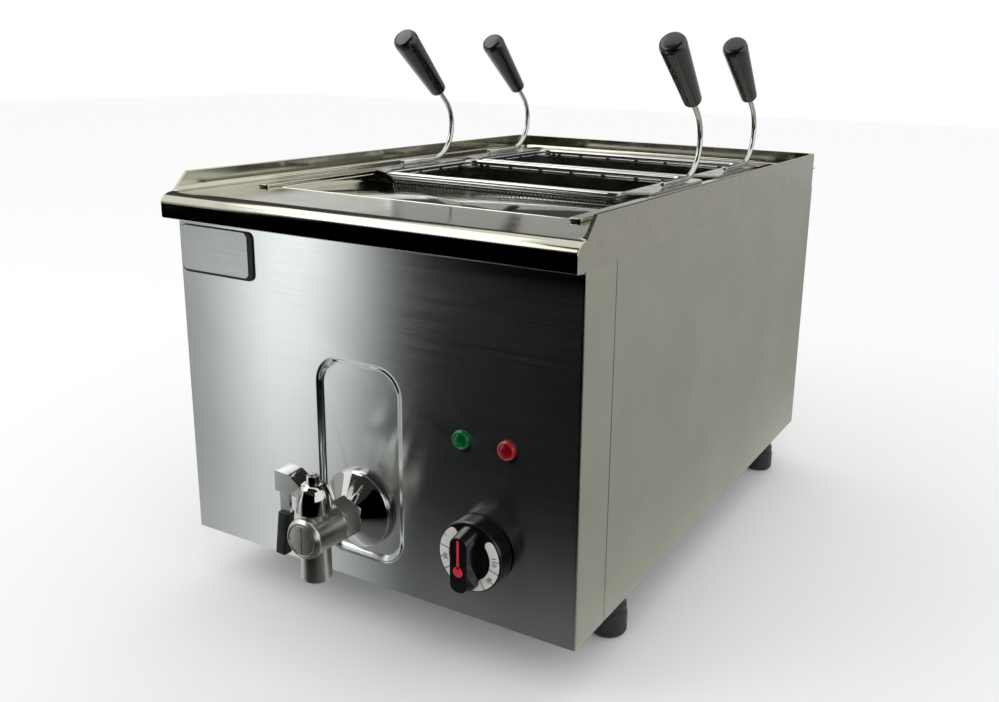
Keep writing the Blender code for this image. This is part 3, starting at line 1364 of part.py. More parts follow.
def make_terminal_block(materials):
    """Terminal block on the base tray, with a slot for each way."""
    rear = BODY_DEPTH - SHEET - TERMINAL_BACK
    front = rear - TERMINAL_DEPTH
    low = SHEET + TOUCH_GAP
    high = low + TERMINAL_HEIGHT
    left = TERMINAL_X - TERMINAL_WIDTH / 2
    block = box("terminal_block", (left, left + TERMINAL_WIDTH), (front, rear), (low, high))
    pitch = TERMINAL_WIDTH / TERMINAL_WAYS
    slots = []
    for index in range(TERMINAL_WAYS):
        middle = left + pitch * (index + 1 / 2)
        half = pitch * TERMINAL_WAY_SHARE / 2
        slots.append(
            box(
                "way",
                (middle - half, middle + half),
                (front + TERMINAL_SLOT_DROP, rear - TERMINAL_SLOT_DROP),
                (high - TERMINAL_SLOT_DROP, high + CUT_OVERRUN),
            )
        )
    return finish(cut(block, *slots), materials["ptfe"])


def make_gland(materials):
    """Cable gland through the rear sheet and its nut inside."""
    rear = BODY_DEPTH + TOUCH_GAP
    end = BODY_DEPTH + GLAND_REACH
    inside = BODY_DEPTH - SHEET - GLAND_INSIDE
    profile = [
        (GLAND_BORE, -inside),
        (GLAND_THREAD_RADIUS, -inside),
        (GLAND_THREAD_RADIUS, -rear),
        (GLAND_FLANGE_RADIUS, -rear),
        (GLAND_FLANGE_RADIUS, -rear - GLAND_FLANGE_THICKNESS),
        (GLAND_CAP_RADIUS, -rear - GLAND_FLANGE_THICKNESS),
        (GLAND_CAP_RADIUS, -end + GLAND_CAP_CHAMFER),
        (GLAND_CAP_RADIUS - GLAND_CAP_CHAMFER, -end),
        (GLAND_BORE, -end),
    ]
    gland = turned("cable_gland", profile, place(GLAND_X, 0, GLAND_HEIGHT), "front", SMALL_ROUND_STEPS, closed=True)
    radius = GLAND_NUT_FLATS / 2 / math.cos(math.pi / 6)
    nut_rear = BODY_DEPTH - SHEET - TOUCH_GAP
    depths = (nut_rear - GLAND_NUT_THICKNESS, nut_rear)
    nut = rod_between("gland_nut", GLAND_X, GLAND_HEIGHT, radius, depths, 6)
    hole = rod_between(
        "hole",
        GLAND_X,
        GLAND_HEIGHT,
        GLAND_THREAD_RADIUS + CLEAR_FIT,
        (depths[0] - CUT_OVERRUN, depths[1] + CUT_OVERRUN),
        SMALL_ROUND_STEPS,
    )
    return finish(gland, materials["black_matt"]), finish(cut(nut, hole), materials["black_matt"])


def basket_outline(front, shrink):
    """Plan outline of a basket's outer wall, drawn in by an amount."""
    half = BASKET_WIDTH / 2 - RIM_RADIUS - TOUCH_GAP - shrink
    inset = RIM_RADIUS + TOUCH_GAP + shrink
    return rounded_rectangle(-half, half, front + inset, front + BASKET_LENGTH - inset, BASKET_CORNER - shrink)


def make_basket_shell(name, front, materials):
    """Drawn-in basket wall and floor with rounded bottom edges."""
    top = FLANGE_TOP - RIM_RADIUS / 2
    sections = [plan_loop(basket_outline(front, 0), top)]
    for index in range(CORNER_STEPS):
        angle = math.radians(90 * index / (CORNER_STEPS - 1))
        shrink = BASKET_TAPER + (BASKET_FLOOR_RADIUS - BASKET_TAPER) * (1 - math.cos(angle))
        height = BASKET_BOTTOM_HEIGHT + BASKET_FLOOR_RADIUS * (1 - math.sin(angle))
        sections.append(plan_loop(basket_outline(front, shrink), height))
    skin = loft(f"basket_{name}_shell", sections, open_top=True)
    shell = thicken(skin, BASKET_SHEET, outward=False)
    return finish(shell, materials["bright"])


def flange_outline(front, side):
    """Plan outline of an end flange with a sloped front and a round rear corner."""
    inner = BASKET_WIDTH / 2
    start = front + FLANGE_FRONT_SETBACK
    end = front + FLANGE_LENGTH
    corner = (FLANGE_OUTER - FLANGE_END_RADIUS, end - FLANGE_END_RADIUS)
    points = [(inner, start), (FLANGE_OUTER, start + FLANGE_FRONT_SLOPE)]
    points += arc(corner, FLANGE_END_RADIUS, 0, 90, CORNER_STEPS)
    points.append((inner, end))
    return [(side * x, depth) for x, depth in points]


def make_basket_frame(name, front, materials):
    """Rolled rim wire round the basket with a flat flange at each end."""
    half = BASKET_WIDTH / 2
    outline = rounded_rectangle(-half, half, front, front + BASKET_LENGTH, RIM_CORNER)
    height = FLANGE_TOP - RIM_RADIUS
    frame = ring_tube(f"basket_{name}_frame", plan_loop(outline, height), RIM_RADIUS)
    for side in (-1, 1):
        centre = place(0, 0, FLANGE_TOP - FLANGE_THICKNESS / 2)
        flange = outline_solid("flange", flange_outline(front, side), FLANGE_THICKNESS, centre, "plan")
        frame = join(frame, flange)
    return finish(frame, materials["bright"])


def handle_path(front):
    """Depth and height of the handle wire: along the flange, round the curl and into the grip."""
    low = FLANGE_TOP + TOUCH_GAP + WIRE_RADIUS
    centre = (front + WIRE_FLAT_END, low + WIRE_BEND)
    curl = arc(centre, WIRE_BEND, -90, WIRE_TURN_DEGREES - 90, ELEMENT_BEND_STEPS + 4)
    direction = grip_direction()
    reach = WIRE_TO_GRIP + GRIP_BORE_DEPTH - TOUCH_GAP
    end = (curl[-1][0] + direction[0] * reach, curl[-1][1] + direction[1] * reach)
    return [(front + WIRE_START, low), *curl, end]


def grip_direction():
    """Direction of the grip in depth and height."""
    angle = math.radians(WIRE_TURN_DEGREES)
    return math.cos(angle), math.sin(angle)


def make_handle(basket, side_name, side, front, materials):
    """Bent wire and tapered grip at one end of a basket."""
    path = handle_path(front)
    points = [place(side * HANDLE_X, depth, height) for depth, height in path]
    wire = tube(f"basket_{basket}_wire_{side_name}", points, WIRE_RADIUS)
    wire = finish(wire, materials["bright"])
    direction = grip_direction()
    curl_end = path[-2]
    base = place(
        side * HANDLE_X,
        curl_end[0] + direction[0] * WIRE_TO_GRIP,
        curl_end[1] + direction[1] * WIRE_TO_GRIP,
    )
    bore = WIRE_RADIUS + CLEAR_FIT
    profile = [
        (0, GRIP_LENGTH),
        (GRIP_TOP_RADIUS - GRIP_EDGE, GRIP_LENGTH - GRIP_DOME / 2),
        (GRIP_TOP_RADIUS - GRIP_EDGE / 4, GRIP_LENGTH - GRIP_DOME - GRIP_EDGE / 4),
        (GRIP_TOP_RADIUS, GRIP_LENGTH - GRIP_DOME - GRIP_EDGE),
        (GRIP_LOW_RADIUS, GRIP_EDGE / 2),
        (GRIP_LOW_RADIUS - GRIP_EDGE / 2, 0),
        (bore, 0),
        (bore, GRIP_BORE_DEPTH),
        (0, GRIP_BORE_DEPTH),
    ]
    grip = turned(f"basket_{basket}_grip_{side_name}", profile, (0, 0, 0), "up", SMALL_ROUND_STEPS)
    tilt = Matrix.Rotation(math.radians(90 - WIRE_TURN_DEGREES) * -1, 4, "X")
    grip.data.transform(Matrix.Translation(base) @ tilt)
    return wire, finish(grip, materials["black_gloss"])


def make_basket(name, front, materials):
    """All pieces of one basket, carried by an empty at its flanges."""
    pieces = [make_basket_shell(name, front, materials), make_basket_frame(name, front, materials)]
    for side_name, side in (("left", -1), ("right", 1)):
        pieces += make_handle(name, side_name, side, front, materials)
    pivot(f"basket_{name}_lift", place(0, front + BASKET_LENGTH / 2, FLANGE_BOTTOM), *pieces)


def make_foot(row, side_name, side, materials):
    """Fixed sleeve and levelling pad of one foot."""
    x = side * FOOT_X
    depth = FOOT_DEPTHS[row]
    origin = place(x, depth, 0)
    bore = FOOT_STUD_RADIUS + CLEAR_FIT
    low = -FOOT_SLEEVE_HEIGHT
    profile = [
        (0, -TOUCH_GAP),
        (FOOT_SLEEVE_RADIUS, -TOUCH_GAP),
        (FOOT_SLEEVE_RADIUS, low + FOOT_COLLAR_HEIGHT),
        (FOOT_COLLAR_RADIUS, low + FOOT_COLLAR_HEIGHT),
        (FOOT_COLLAR_RADIUS, low),
        (bore, low),
        (bore, -FOOT_BORE_CAP),
        (0, -FOOT_BORE_CAP),
    ]
    sleeve = turned(f"foot_{row}_{side_name}_sleeve", profile, origin, "up", SMALL_ROUND_STEPS)
    sleeve = finish(sleeve, materials["black_matt"])
    pad_top = low - TOUCH_GAP
    pad = [
        (0, pad_top + FOOT_STUD_LENGTH),
        (FOOT_STUD_RADIUS, pad_top + FOOT_STUD_LENGTH),
        (FOOT_STUD_RADIUS, pad_top),
        (FOOT_PAD_RADIUS, pad_top),
        (FOOT_PAD_RADIUS, -FOOT_HEIGHT + FOOT_CHAMFER),
        (FOOT_PAD_RADIUS - FOOT_CHAMFER, -FOOT_HEIGHT),
        (0, -FOOT_HEIGHT),
    ]
    foot = turned(f"foot_{row}_{side_name}_pad", pad, origin, "up", SMALL_ROUND_STEPS)
    foot = finish(foot, materials["black_matt"])
    pivot(f"foot_{row}_{side_name}_axis", origin, foot)


def make_controls(materials):
    """Knob, thermostat, lamps and nameplate."""
    body, spindle, bulb = make_thermostat(materials)
    knob = make_knob(materials)
    pivot("knob_axis", place(KNOB_X, 0, KNOB_HEIGHT), knob, spindle)
    make_lamp("green", LAMP_GREEN_X, materials)
    make_lamp("red", LAMP_RED_X, materials)
    make_nameplate(materials)


def make_tap(materials):
    """Drain pipe, rosette, tap and lever."""
    make_drain_pipe(materials)
    make_rosette(materials)
    make_tap_body(materials)
    inside = make_tap_inside(materials)
    turning = [
        inside["ball"],
        inside["stem"],
        make_lever(materials),
        make_lever_nut(materials),
        make_tang(materials),
        make_lever_sleeve(materials),
    ]
    pivot("tap_axis", place(TAP_X, -STEM_REACH, TAP_HEIGHT), *turning)


def main():
    """Build the whole appliance."""
    clear_scene()
    make_collection()
    materials = make_materials()
    make_base_tray(materials)
    make_front_panel(materials)
    make_body_wrap(materials)
    make_top_frame(materials)
    for side_name, side in (("left", -1), ("right", 1)):
        make_rail(side_name, side, materials)
    make_tank(materials)
    make_element(materials)
    make_grid(materials)
    make_cutout(materials)
    make_terminal_block(materials)
    make_gland(materials)
    make_controls(materials)
    make_tap(materials)
    for name, front in BASKET_FRONTS.items():
        make_basket(name, front, materials)
    for row in FOOT_DEPTHS:
        for side_name, side in (("left", -1), ("right", 1)):
            make_foot(row, side_name, side, materials)


main()
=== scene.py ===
"""Pasta cooker: the pieces, finishes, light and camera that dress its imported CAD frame."""

import json
import logging
import math
from dataclasses import dataclass
from enum import Enum
from typing import Callable, Iterable, Sequence

import bmesh
import bpy
from mathutils import Matrix, Vector

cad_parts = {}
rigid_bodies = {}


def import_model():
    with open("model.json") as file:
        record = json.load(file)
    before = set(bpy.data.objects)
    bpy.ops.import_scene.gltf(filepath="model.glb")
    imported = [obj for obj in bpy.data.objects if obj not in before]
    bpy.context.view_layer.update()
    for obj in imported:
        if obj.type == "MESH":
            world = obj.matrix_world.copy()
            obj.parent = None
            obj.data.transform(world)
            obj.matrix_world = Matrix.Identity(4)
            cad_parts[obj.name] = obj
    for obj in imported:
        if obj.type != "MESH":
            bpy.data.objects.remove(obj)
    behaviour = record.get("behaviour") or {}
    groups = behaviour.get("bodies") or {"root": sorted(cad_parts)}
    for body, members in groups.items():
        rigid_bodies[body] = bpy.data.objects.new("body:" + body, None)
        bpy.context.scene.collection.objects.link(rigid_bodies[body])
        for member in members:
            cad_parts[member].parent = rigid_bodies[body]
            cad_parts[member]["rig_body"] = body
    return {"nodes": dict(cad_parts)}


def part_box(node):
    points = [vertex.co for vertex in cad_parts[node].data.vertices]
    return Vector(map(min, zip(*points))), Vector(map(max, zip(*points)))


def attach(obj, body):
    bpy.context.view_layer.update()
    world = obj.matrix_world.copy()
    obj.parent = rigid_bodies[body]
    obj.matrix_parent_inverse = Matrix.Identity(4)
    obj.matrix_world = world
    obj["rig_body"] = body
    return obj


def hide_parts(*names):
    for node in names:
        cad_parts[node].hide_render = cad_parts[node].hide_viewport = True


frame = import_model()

LOG = logging.getLogger("pasta_cooker")
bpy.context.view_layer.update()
MM = 0.001
PANEL_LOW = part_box("front_panel")[0]
FRONT_Y = PANEL_LOW.y
BASE_Z = PANEL_LOW.z
BODY_MIDDLE = Vector((0, FRONT_Y + 290 * MM, BASE_Z + 150 * MM))
GRAIN_UV = "grain"

Point = Sequence[float]
Edges = list[bmesh.types.BMEdge]
Faces = list[bmesh.types.BMFace]


def at(x: float, depth: float, height: float) -> Vector:
    """Give the point x, depth behind the front panel and height above the body's underside, all in mm."""
    return Vector((x * MM, FRONT_Y + depth * MM, BASE_Z + height * MM))


class Plane(Enum):
    """How a flat shape drawn in x and y is stood up."""

    PLAN = "plan"
    FACE = "face"

    def matrix(self, centre: Vector) -> Matrix:
        """Give the turn and move that bring the drawing to its place.

        Args:
            centre: where the drawing's origin goes.

        Returns:
            The matrix for the drawing's vertices.
        """
        turn = Matrix.Identity(4)
        if self is Plane.FACE:
            turn = Matrix.Rotation(math.radians(90), 4, "X")
        return Matrix.Translation(centre) @ turn


class Shape:
    """A mesh under construction, drawn in mm and kept in metres."""

    def __init__(self) -> None:
        """Start with an empty mesh."""
        self.bm = bmesh.new()

    def line(self, points: Iterable[Point], closed: bool = False) -> Edges:
        """Draw a line through points in metres.

        Args:
            points: the corners, in order.
            closed: whether the last corner joins the first.

        Returns:
            The new edges.
        """
        verts = [self.bm.verts.new(point) for point in points]
        ends = verts[1:] + verts[:1] if closed else verts[1:]
        return [self.bm.edges.new(pair) for pair in zip(verts, ends)]

    def profile(self, points: Iterable[Point], closed: bool = False) -> None:
        """Draw a profile in x and z, in mm, with a third number for the rounding of a corner.

        Args:
            points: x, z and the rounding where there is one.
            closed: whether the profile is a closed loop.
        """
        points = list(points)
        self.line([(p[0] * MM, 0, p[1] * MM) for p in points], closed)
        self.bm.verts.ensure_lookup_table()
        corners = [(self.bm.verts[i], p[2]) for i, p in enumerate(points) if len(p) > 2 and p[2] > 0]
        for vert, radius in corners:
            self.round_corners([vert], radius, 5)

    def round_corners(self, verts: Sequence[bmesh.types.BMVert], radius: float, segments: int) -> None:
        """Round corners of a line or a flat face by a radius in mm."""
        bmesh.ops.bevel(
            self.bm,
            geom=verts,
            offset=radius * MM,
            offset_type="OFFSET",
            segments=segments,
            profile=0.5,
            affect="VERTICES",
            clamp_overlap=True,
            material=-1,
        )

    def lathe(self, steps: int = 48) -> "Shape":
        """Spin the drawn profile round z and close it.

        Args:
            steps: how many facets go round.

        Returns:
            The shape itself.
        """
        bmesh.ops.spin(
            self.bm,
            geom=self.bm.verts[:] + self.bm.edges[:],
            cent=(0, 0, 0),
            axis=(0, 0, 1),
            dvec=(0, 0, 0),
            angle=math.tau,
            steps=steps,
            use_merge=True,
            use_duplicate=False,
        )
        bmesh.ops.remove_doubles(self.bm, verts=self.bm.verts[:], dist=0.002 * MM)
        bmesh.ops.recalc_face_normals(self.bm, faces=self.bm.faces[:])
        return self

    def plate(self, width: float, length: float, corner: float, segments: int = 6) -> bmesh.types.BMFace:
        """Lay one flat rounded face round the origin.

        Args:
            width: size in x, in mm.
            length: size in y, in mm.
            corner: corner radius, in mm.
            segments: facets in each corner.

        Returns:
            The face.
        """
        new = bmesh.ops.create_grid(self.bm, x_segments=1, y_segments=1, size=0.5)["verts"]
        bmesh.ops.scale(self.bm, vec=(width * MM, length * MM, 1), verts=new)
        if corner > 0:
            before = set(self.bm.verts) - set(new)
            self.round_corners(new, corner, segments)
            new = [v for v in self.bm.verts if v not in before]
        return new[0].link_faces[0]

    def disc(self, radius: float, segments: int = 32, centre: Point = (0, 0)) -> bmesh.types.BMFace:
        """Lay one flat round face in x and y, all in mm."""
        place = Matrix.Translation((centre[0] * MM, centre[1] * MM, 0))
        made = bmesh.ops.create_circle(
            self.bm, cap_ends=True, segments=segments, radius=radius * MM, matrix=place
        )
        return made["verts"][0].link_faces[0]

    def raise_face(self, face: bmesh.types.BMFace, height: float) -> bmesh.types.BMFace:
        """Pull a flat face into a closed block.

        Args:
            face: the face to pull, whose outline stays behind as the base.
            height: how far it goes along z, in mm.

        Returns:
            The face on top.
        """
        made = bmesh.ops.extrude_face_region(self.bm, geom=[face])["geom"]
        verts = [g for g in made if isinstance(g, bmesh.types.BMVert)]
        bmesh.ops.translate(self.bm, vec=(0, 0, height * MM), verts=verts)
        top = [g for g in made if isinstance(g, bmesh.types.BMFace)][0]
        bmesh.ops.recalc_face_normals(self.bm, faces=self.bm.faces[:])
        return top

    def soften(self, edges: Iterable[bmesh.types.BMEdge], radius: float, segments: int = 3) -> None:
        """Round edges by a radius in mm."""
        bmesh.ops.bevel(
            self.bm,
            geom=list(edges),
            offset=radius * MM,
            offset_type="OFFSET",
            segments=segments,
            profile=0.5,
            affect="EDGES",
            clamp_overlap=True,
            material=-1,
        )

    def sweep(self, edges: Edges, step: Point) -> Edges:
        """Pull edges along a step in metres.

        Args:
            edges: the edges to pull.
            step: how far and where to.

        Returns:
            The edges at the far end.
        """
        made = bmesh.ops.extrude_edge_only(self.bm, edges=edges)["geom"]
        verts = {g for g in made if isinstance(g, bmesh.types.BMVert)}
        bmesh.ops.translate(self.bm, vec=step, verts=list(verts))
        found = [g for g in made if isinstance(g, bmesh.types.BMEdge)]
        return [e for e in found if set(e.verts) <= verts]

    def bend(self, edges: Edges, centre: Point, axis: Point, degrees: float, steps: int) -> Edges:
        """Turn edges round an axis, leaving a bent surface behind.

        Args:
            edges: the edges to turn.
            centre: a point on the axis, in metres.
            axis: the axis.
            degrees: how far to turn.
            steps: facets in the bend.

        Returns:
            The edges at the far end.
        """
        verts = {v for e in edges for v in e.verts}
        made = bmesh.ops.spin(
            self.bm,
            geom=list(verts) + list(edges),
            cent=centre,
            axis=axis,
            dvec=(0, 0, 0),
            angle=math.radians(degrees),
            steps=steps,
            use_duplicate=False,
        )["geom_last"]
        return [g for g in made if isinstance(g, bmesh.types.BMEdge)]

    def fill(self, edges: Edges, normal: Point) -> Faces:
        """Fill between an outline and the holes in it.

        Args:
            edges: all edges of the outline and the holes.
            normal: which way the faces look.

        Returns:
            The new faces.
        """
        made = bmesh.ops.triangle_fill(
            self.bm, use_beauty=True, use_dissolve=False, edges=edges, normal=normal
        )["geom"]
        return [g for g in made if isinstance(g, bmesh.types.BMFace)]

    def close(self) -> None:
        """Close every open end and turn all faces outwards."""
        bmesh.ops.remove_doubles(self.bm, verts=self.bm.verts[:], dist=0.002 * MM)
        bmesh.ops.holes_fill(self.bm, edges=self.bm.edges[:], sides=0)
        bmesh.ops.recalc_face_normals(self.bm, faces=self.bm.faces[:])

    def look_away_from(self, middle: Vector) -> None:
        """Turn each face of an open sheet away from a point."""
        self.bm.normal_update()
        for face in self.bm.faces:
            if face.normal.dot(face.calc_center_median() - middle) < 0:
                face.normal_flip()

    def move(self, matrix: Matrix) -> "Shape":
        """Transform the whole shape and hand it back."""
        bmesh.ops.transform(self.bm, matrix=matrix, verts=self.bm.verts[:])
        return self

    def add(self, other: "Shape") -> "Shape":
        """Take in another shape's mesh, which is then gone."""
        mesh = bpy.data.meshes.new("passing")
        other.bm.to_mesh(mesh)
        other.bm.free()
        self.bm.from_mesh(mesh)
        bpy.data.meshes.remove(mesh)
        return self

    def piece(self, name: str, finish: "Finish", body: str, sharp: float = 32) -> bpy.types.Object:
        """Turn the mesh into a finished piece that rides on a body.

        Args:
            name: the piece's name.
            finish: what it is made of.
            body: the CAD body that carries it.
            sharp: the angle in degrees above which an edge stays crisp.

        Returns:
            The new object.
        """
        for face in self.bm.faces:
            face.smooth = True
        mesh = bpy.data.meshes.new(name)
        self.bm.to_mesh(mesh)
        self.bm.free()
        mesh.set_sharp_from_angle(angle=math.radians(sharp))
        mesh.materials.append(finish.material())
        piece = bpy.data.objects.new(name, mesh)
        bpy.context.scene.collection.objects.link(piece)
        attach(piece, body)
        LOG.info("%s: %d faces on %s", name, len(mesh.polygons), body)
        return piece


def out_of_panel(shape: Shape, x: float, height: float) -> Shape:
    """Lay a shape turned round z along an axis out of the panel, so that its heights become reach.

    Args:
        shape: the turned shape.
        x: the axis's place across, in mm.
        height: the axis's height, in mm.

    Returns:
        The shape itself.
    """
    return shape.move(Plane.FACE.matrix(at(x, 0, height)))


def even_shading(piece: bpy.types.Object) -> None:
    """Let the large flats decide the shading next to small bends."""
    modifier = piece.modifiers.new("even_shading", "WEIGHTED_NORMAL")
    modifier.keep_sharp = True
    modifier.weight = 100


def give_thickness(piece: bpy.types.Object, thickness: float) -> None:
    """Thicken an open sheet inwards by a number of mm."""
    modifier = piece.modifiers.new("sheet", "SOLIDIFY")
    modifier.thickness = thickness * MM
    modifier.offset = -1


def lay_grain(piece: bpy.types.Object, rule: Callable[[Vector], tuple[float, float]]) -> None:
    """Lay the UV map whose first direction is where reflections are drawn out.

    Args:
        piece: the piece to map.
        rule: gives the two coordinates of a point.
    """
    layer = piece.data.uv_layers.new(name=GRAIN_UV)
    for loop in piece.data.loops:
        layer.data[loop.index].uv = rule(piece.data.vertices[loop.vertex_index].co)


def refined_copy(node: str, finish: "Finish", edge: float) -> bpy.types.Object:
    """Copy a CAD node's mesh, clean it and soften its edges.

    Args:
        node: the CAD node, which the copy stands for.
        finish: what it is made of.
        edge: edge radius in mm.

    Returns:
        The new piece.
    """
    source = frame["nodes"][node]
    shape = Shape()
    shape.bm.from_mesh(source.data)
    for layer in list(shape.bm.loops.layers.uv):
        shape.bm.loops.layers.uv.remove(layer)
    bmesh.ops.remove_doubles(shape.bm, verts=shape.bm.verts[:], dist=0.01 * MM)
    bmesh.ops.dissolve_limit(
        shape.bm, angle_limit=math.radians(1), verts=shape.bm.verts[:], edges=shape.bm.edges[:]
    )
    for face in shape.bm.faces:
        face.material_index = 0
    piece = shape.piece(f"{node}_finished", finish, source["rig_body"])
    if edge > 0:
        modifier = piece.modifiers.new("soft_edges", "BEVEL")
        modifier.width = edge * MM
        modifier.segments = 2
        modifier.limit_method = "ANGLE"
        modifier.angle_limit = math.radians(38)
        modifier.harden_normals = True
    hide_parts(node)
    return piece


def srgb(code: str) -> tuple[float, float, float, float]:
    """Turn an sRGB hex colour to linear red, green, blue and alpha."""
    values = [int(code[i : i + 2], 16) / 255 for i in (0, 2, 4)]
    linear = [v / 12.92 if v <= 0.04045 else ((v + 0.055) / 1.055) ** 2.4 for v in values]
    return linear[0], linear[1], linear[2], 1.0


def add_node(
    tree: bpy.types.NodeTree,
    kind: str,
    settings: dict | None = None,
    inputs: dict | None = None,
    links: dict | None = None,
) -> bpy.types.Node:
    """Add one node to a tree.

    Args:
        tree: the node tree.
        kind: the node's type.
        settings: attributes of the node.
        inputs: values of its sockets.
        links: output sockets that feed its sockets.

    Returns:
        The node.
    """
    node = tree.nodes.new(kind)
    for name, value in (settings or {}).items():
        setattr(node, name, value)
    for name, value in (inputs or {}).items():
        node.inputs[name].default_value = value
    for name, socket in (links or {}).items():
        tree.links.new(socket, node.inputs[name])
    return node


@dataclass(frozen=True)
class Finish:
    """What all finishes share: a name, the record's slot and a base colour in two close tones."""

    name: str
    slot: str
    tone: str
    other_tone: str
    roughness: float
    roughness_spread: float

    def material(self) -> bpy.types.Material:
        """Give the material, building it the first time."""
        found = bpy.data.materials.get(self.name)
        if found:
            return found
        material = bpy.data.materials.new(self.name)
        material.use_nodes = True
        tree = material.node_tree
        tree.nodes.clear()
        shader = add_node(tree, "ShaderNodeBsdfPrincipled")
        add_node(tree, "ShaderNodeOutputMaterial", links={"Surface": shader.outputs["BSDF"]})
        self.dress(tree, shader)
        return material

    def dress(self, tree: bpy.types.NodeTree, shader: bpy.types.Node) -> None:
        """Add the finish's own nodes."""
        raise NotImplementedError

    def pattern(self, tree: bpy.types.NodeTree, size: Point, detail: float = 2.0) -> bpy.types.NodeSocket:
        """Add a noise whose patches have a real size along x, y and z.

        Args:
            tree: the node tree.
            size: the size of a patch along each axis, in mm.
            detail: how many finer layers it has.

        Returns:
            The noise's value.
        """
        place = add_node(tree, "ShaderNodeTexCoord")
        scale = add_node(
            tree,
            "ShaderNodeMapping",
            inputs={"Scale": tuple(1 / (s * MM) for s in size)},
            links={"Vector": place.outputs["Object"]},
        )
        noise = add_node(
            tree,
            "ShaderNodeTexNoise",
            inputs={"Scale": 1.0, "Detail": detail, "Roughness": 0.6},
            links={"Vector": scale.outputs["Vector"]},
        )
        return noise.outputs["Fac"]

    def tones(self, tree: bpy.types.NodeTree, shader: bpy.types.Node, value: bpy.types.NodeSocket) -> None:
        """Mix the two tones by a pattern and feed the base colour."""
        ramp = add_node(tree, "ShaderNodeValToRGB", links={"Fac": value})
        ramp.color_ramp.elements[0].position = 0.35
        ramp.color_ramp.elements[0].color = srgb(self.tone)
        ramp.color_ramp.elements[1].position = 0.65
        ramp.color_ramp.elements[1].color = srgb(self.other_tone)
        tree.links.new(ramp.outputs["Color"], shader.inputs["Base Color"])

    def gloss(self, tree: bpy.types.NodeTree, shader: bpy.types.Node, value: bpy.types.NodeSocket) -> None:
        """Spread the roughness round its middle by a pattern."""
        spread = add_node(
            tree,
            "ShaderNodeMapRange",
            inputs={
                "From Min": 0.3,
                "From Max": 0.7,
                "To Min": self.roughness - self.roughness_spread,
                "To Max": self.roughness + self.roughness_spread,
            },
            links={"Value": value},
        )
        tree.links.new(spread.outputs["Result"], shader.inputs["Roughness"])

    def relief(
        self,
        tree: bpy.types.NodeTree,
        shader: bpy.types.Node,
        value: bpy.types.NodeSocket,
        depth: float,
        strength: float,
    ) -> None:
        """Stand a pattern up from the surface by a depth in mm."""
        bump = add_node(
            tree,
            "ShaderNodeBump",
            inputs={"Strength": strength, "Distance": depth * MM},
            links={"Height": value},
        )
        tree.links.new(bump.outputs["Normal"], shader.inputs["Normal"])


@dataclass(frozen=True)
class GroundSteel(Finish):
    """Stainless sheet ground with a belt.

    The belt leaves parallel lines, so a reflection stays sharp along them and is drawn out across them.
    """

    line_size: Point = (60, 0.9, 0.9)
    line_depth: float = 0.01
    line_strength: float = 0.2
    drawn_out: float = 0.0

    def dress(self, tree: bpy.types.NodeTree, shader: bpy.types.Node) -> None:
        """Add grinding lines, uneven gloss and the drawn-out reflection."""
        shader.inputs["Metallic"].default_value = 1.0
        lines = self.pattern(tree, self.line_size, 3.0)
        clouds = self.pattern(tree, (90, 90, 90))
        self.tones(tree, shader, clouds)
        self.gloss(tree, shader, lines)
        self.relief(tree, shader, lines, self.line_depth, self.line_strength)
        if self.drawn_out > 0:
            shader.inputs["Anisotropic"].default_value = self.drawn_out
            tangent = add_node(
                tree, "ShaderNodeTangent", settings={"direction_type": "UV_MAP", "uv_map": GRAIN_UV}
            )
            tree.links.new(tangent.outputs["Tangent"], shader.inputs["Tangent"])


@dataclass(frozen=True)
class PlatedMetal(Finish):
    """Metal that is polished, plated, cast or drawn.

    A fine even grain breaks its reflections a little, and slow clouds of wear change the gloss.
    """

    grain: float = 2.0
    grain_depth: float = 0.01
    grain_strength: float = 0.1

    def dress(self, tree: bpy.types.NodeTree, shader: bpy.types.Node) -> None:
        """Add fine grain and clouded gloss."""
        shader.inputs["Metallic"].default_value = 1.0
        grain = self.pattern(tree, (self.grain,) * 3, 3.0)
        clouds = self.pattern(tree, (25, 25, 25))
        self.tones(tree, shader, clouds)
        self.gloss(tree, shader, clouds)
        self.relief(tree, shader, grain, self.grain_depth, self.grain_strength)


@dataclass(frozen=True)
class MouldedPlastic(Finish):
    """Moulded plastic with the mould's fine texture.

    Its IOR is that of the resin, and a clear coat stands for a polished mould.
    """

    ior: float = 1.5
    grain: float = 0.8
    grain_depth: float = 0.02
    grain_strength: float = 0.15
    coat: float = 0.0
    transmission: float = 0.0

    def dress(self, tree: bpy.types.NodeTree, shader: bpy.types.Node) -> None:
        """Add the mould's texture and uneven gloss."""
        shader.inputs["IOR"].default_value = self.ior
        shader.inputs["Coat Weight"].default_value = self.coat
        shader.inputs["Coat Roughness"].default_value = 0.06
        shader.inputs["Transmission Weight"].default_value = self.transmission
        grain = self.pattern(tree, (self.grain,) * 3, 2.0)
        clouds = self.pattern(tree, (14, 14, 14))
        self.tones(tree, shader, clouds)
        self.gloss(tree, shader, clouds)
        self.relief(tree, shader, grain, self.grain_depth, self.grain_strength)


# 1.4301 stainless sheet, belt ground side to side: reflections run up and down as soft columns.
FRONT_STEEL = GroundSteel(
    "front_sheet_belt_ground_stainless", "brushed_front", "f0f3f2", "f6f9f8", 0.20, 0.02,
    line_size=(70, 1.1, 1.1), line_depth=0.01, line_strength=0.02, drawn_out=0.9,
)
# The same sheet on the sides, finer ground: an even satin grey without clear reflections.
SIDE_STEEL = GroundSteel(
    "side_sheet_satin_stainless", "satin_side", "bcbbac", "c3c2b3", 0.40, 0.04,
    line_size=(1.0, 80, 1.0), line_depth=0.01, line_strength=0.08,
)
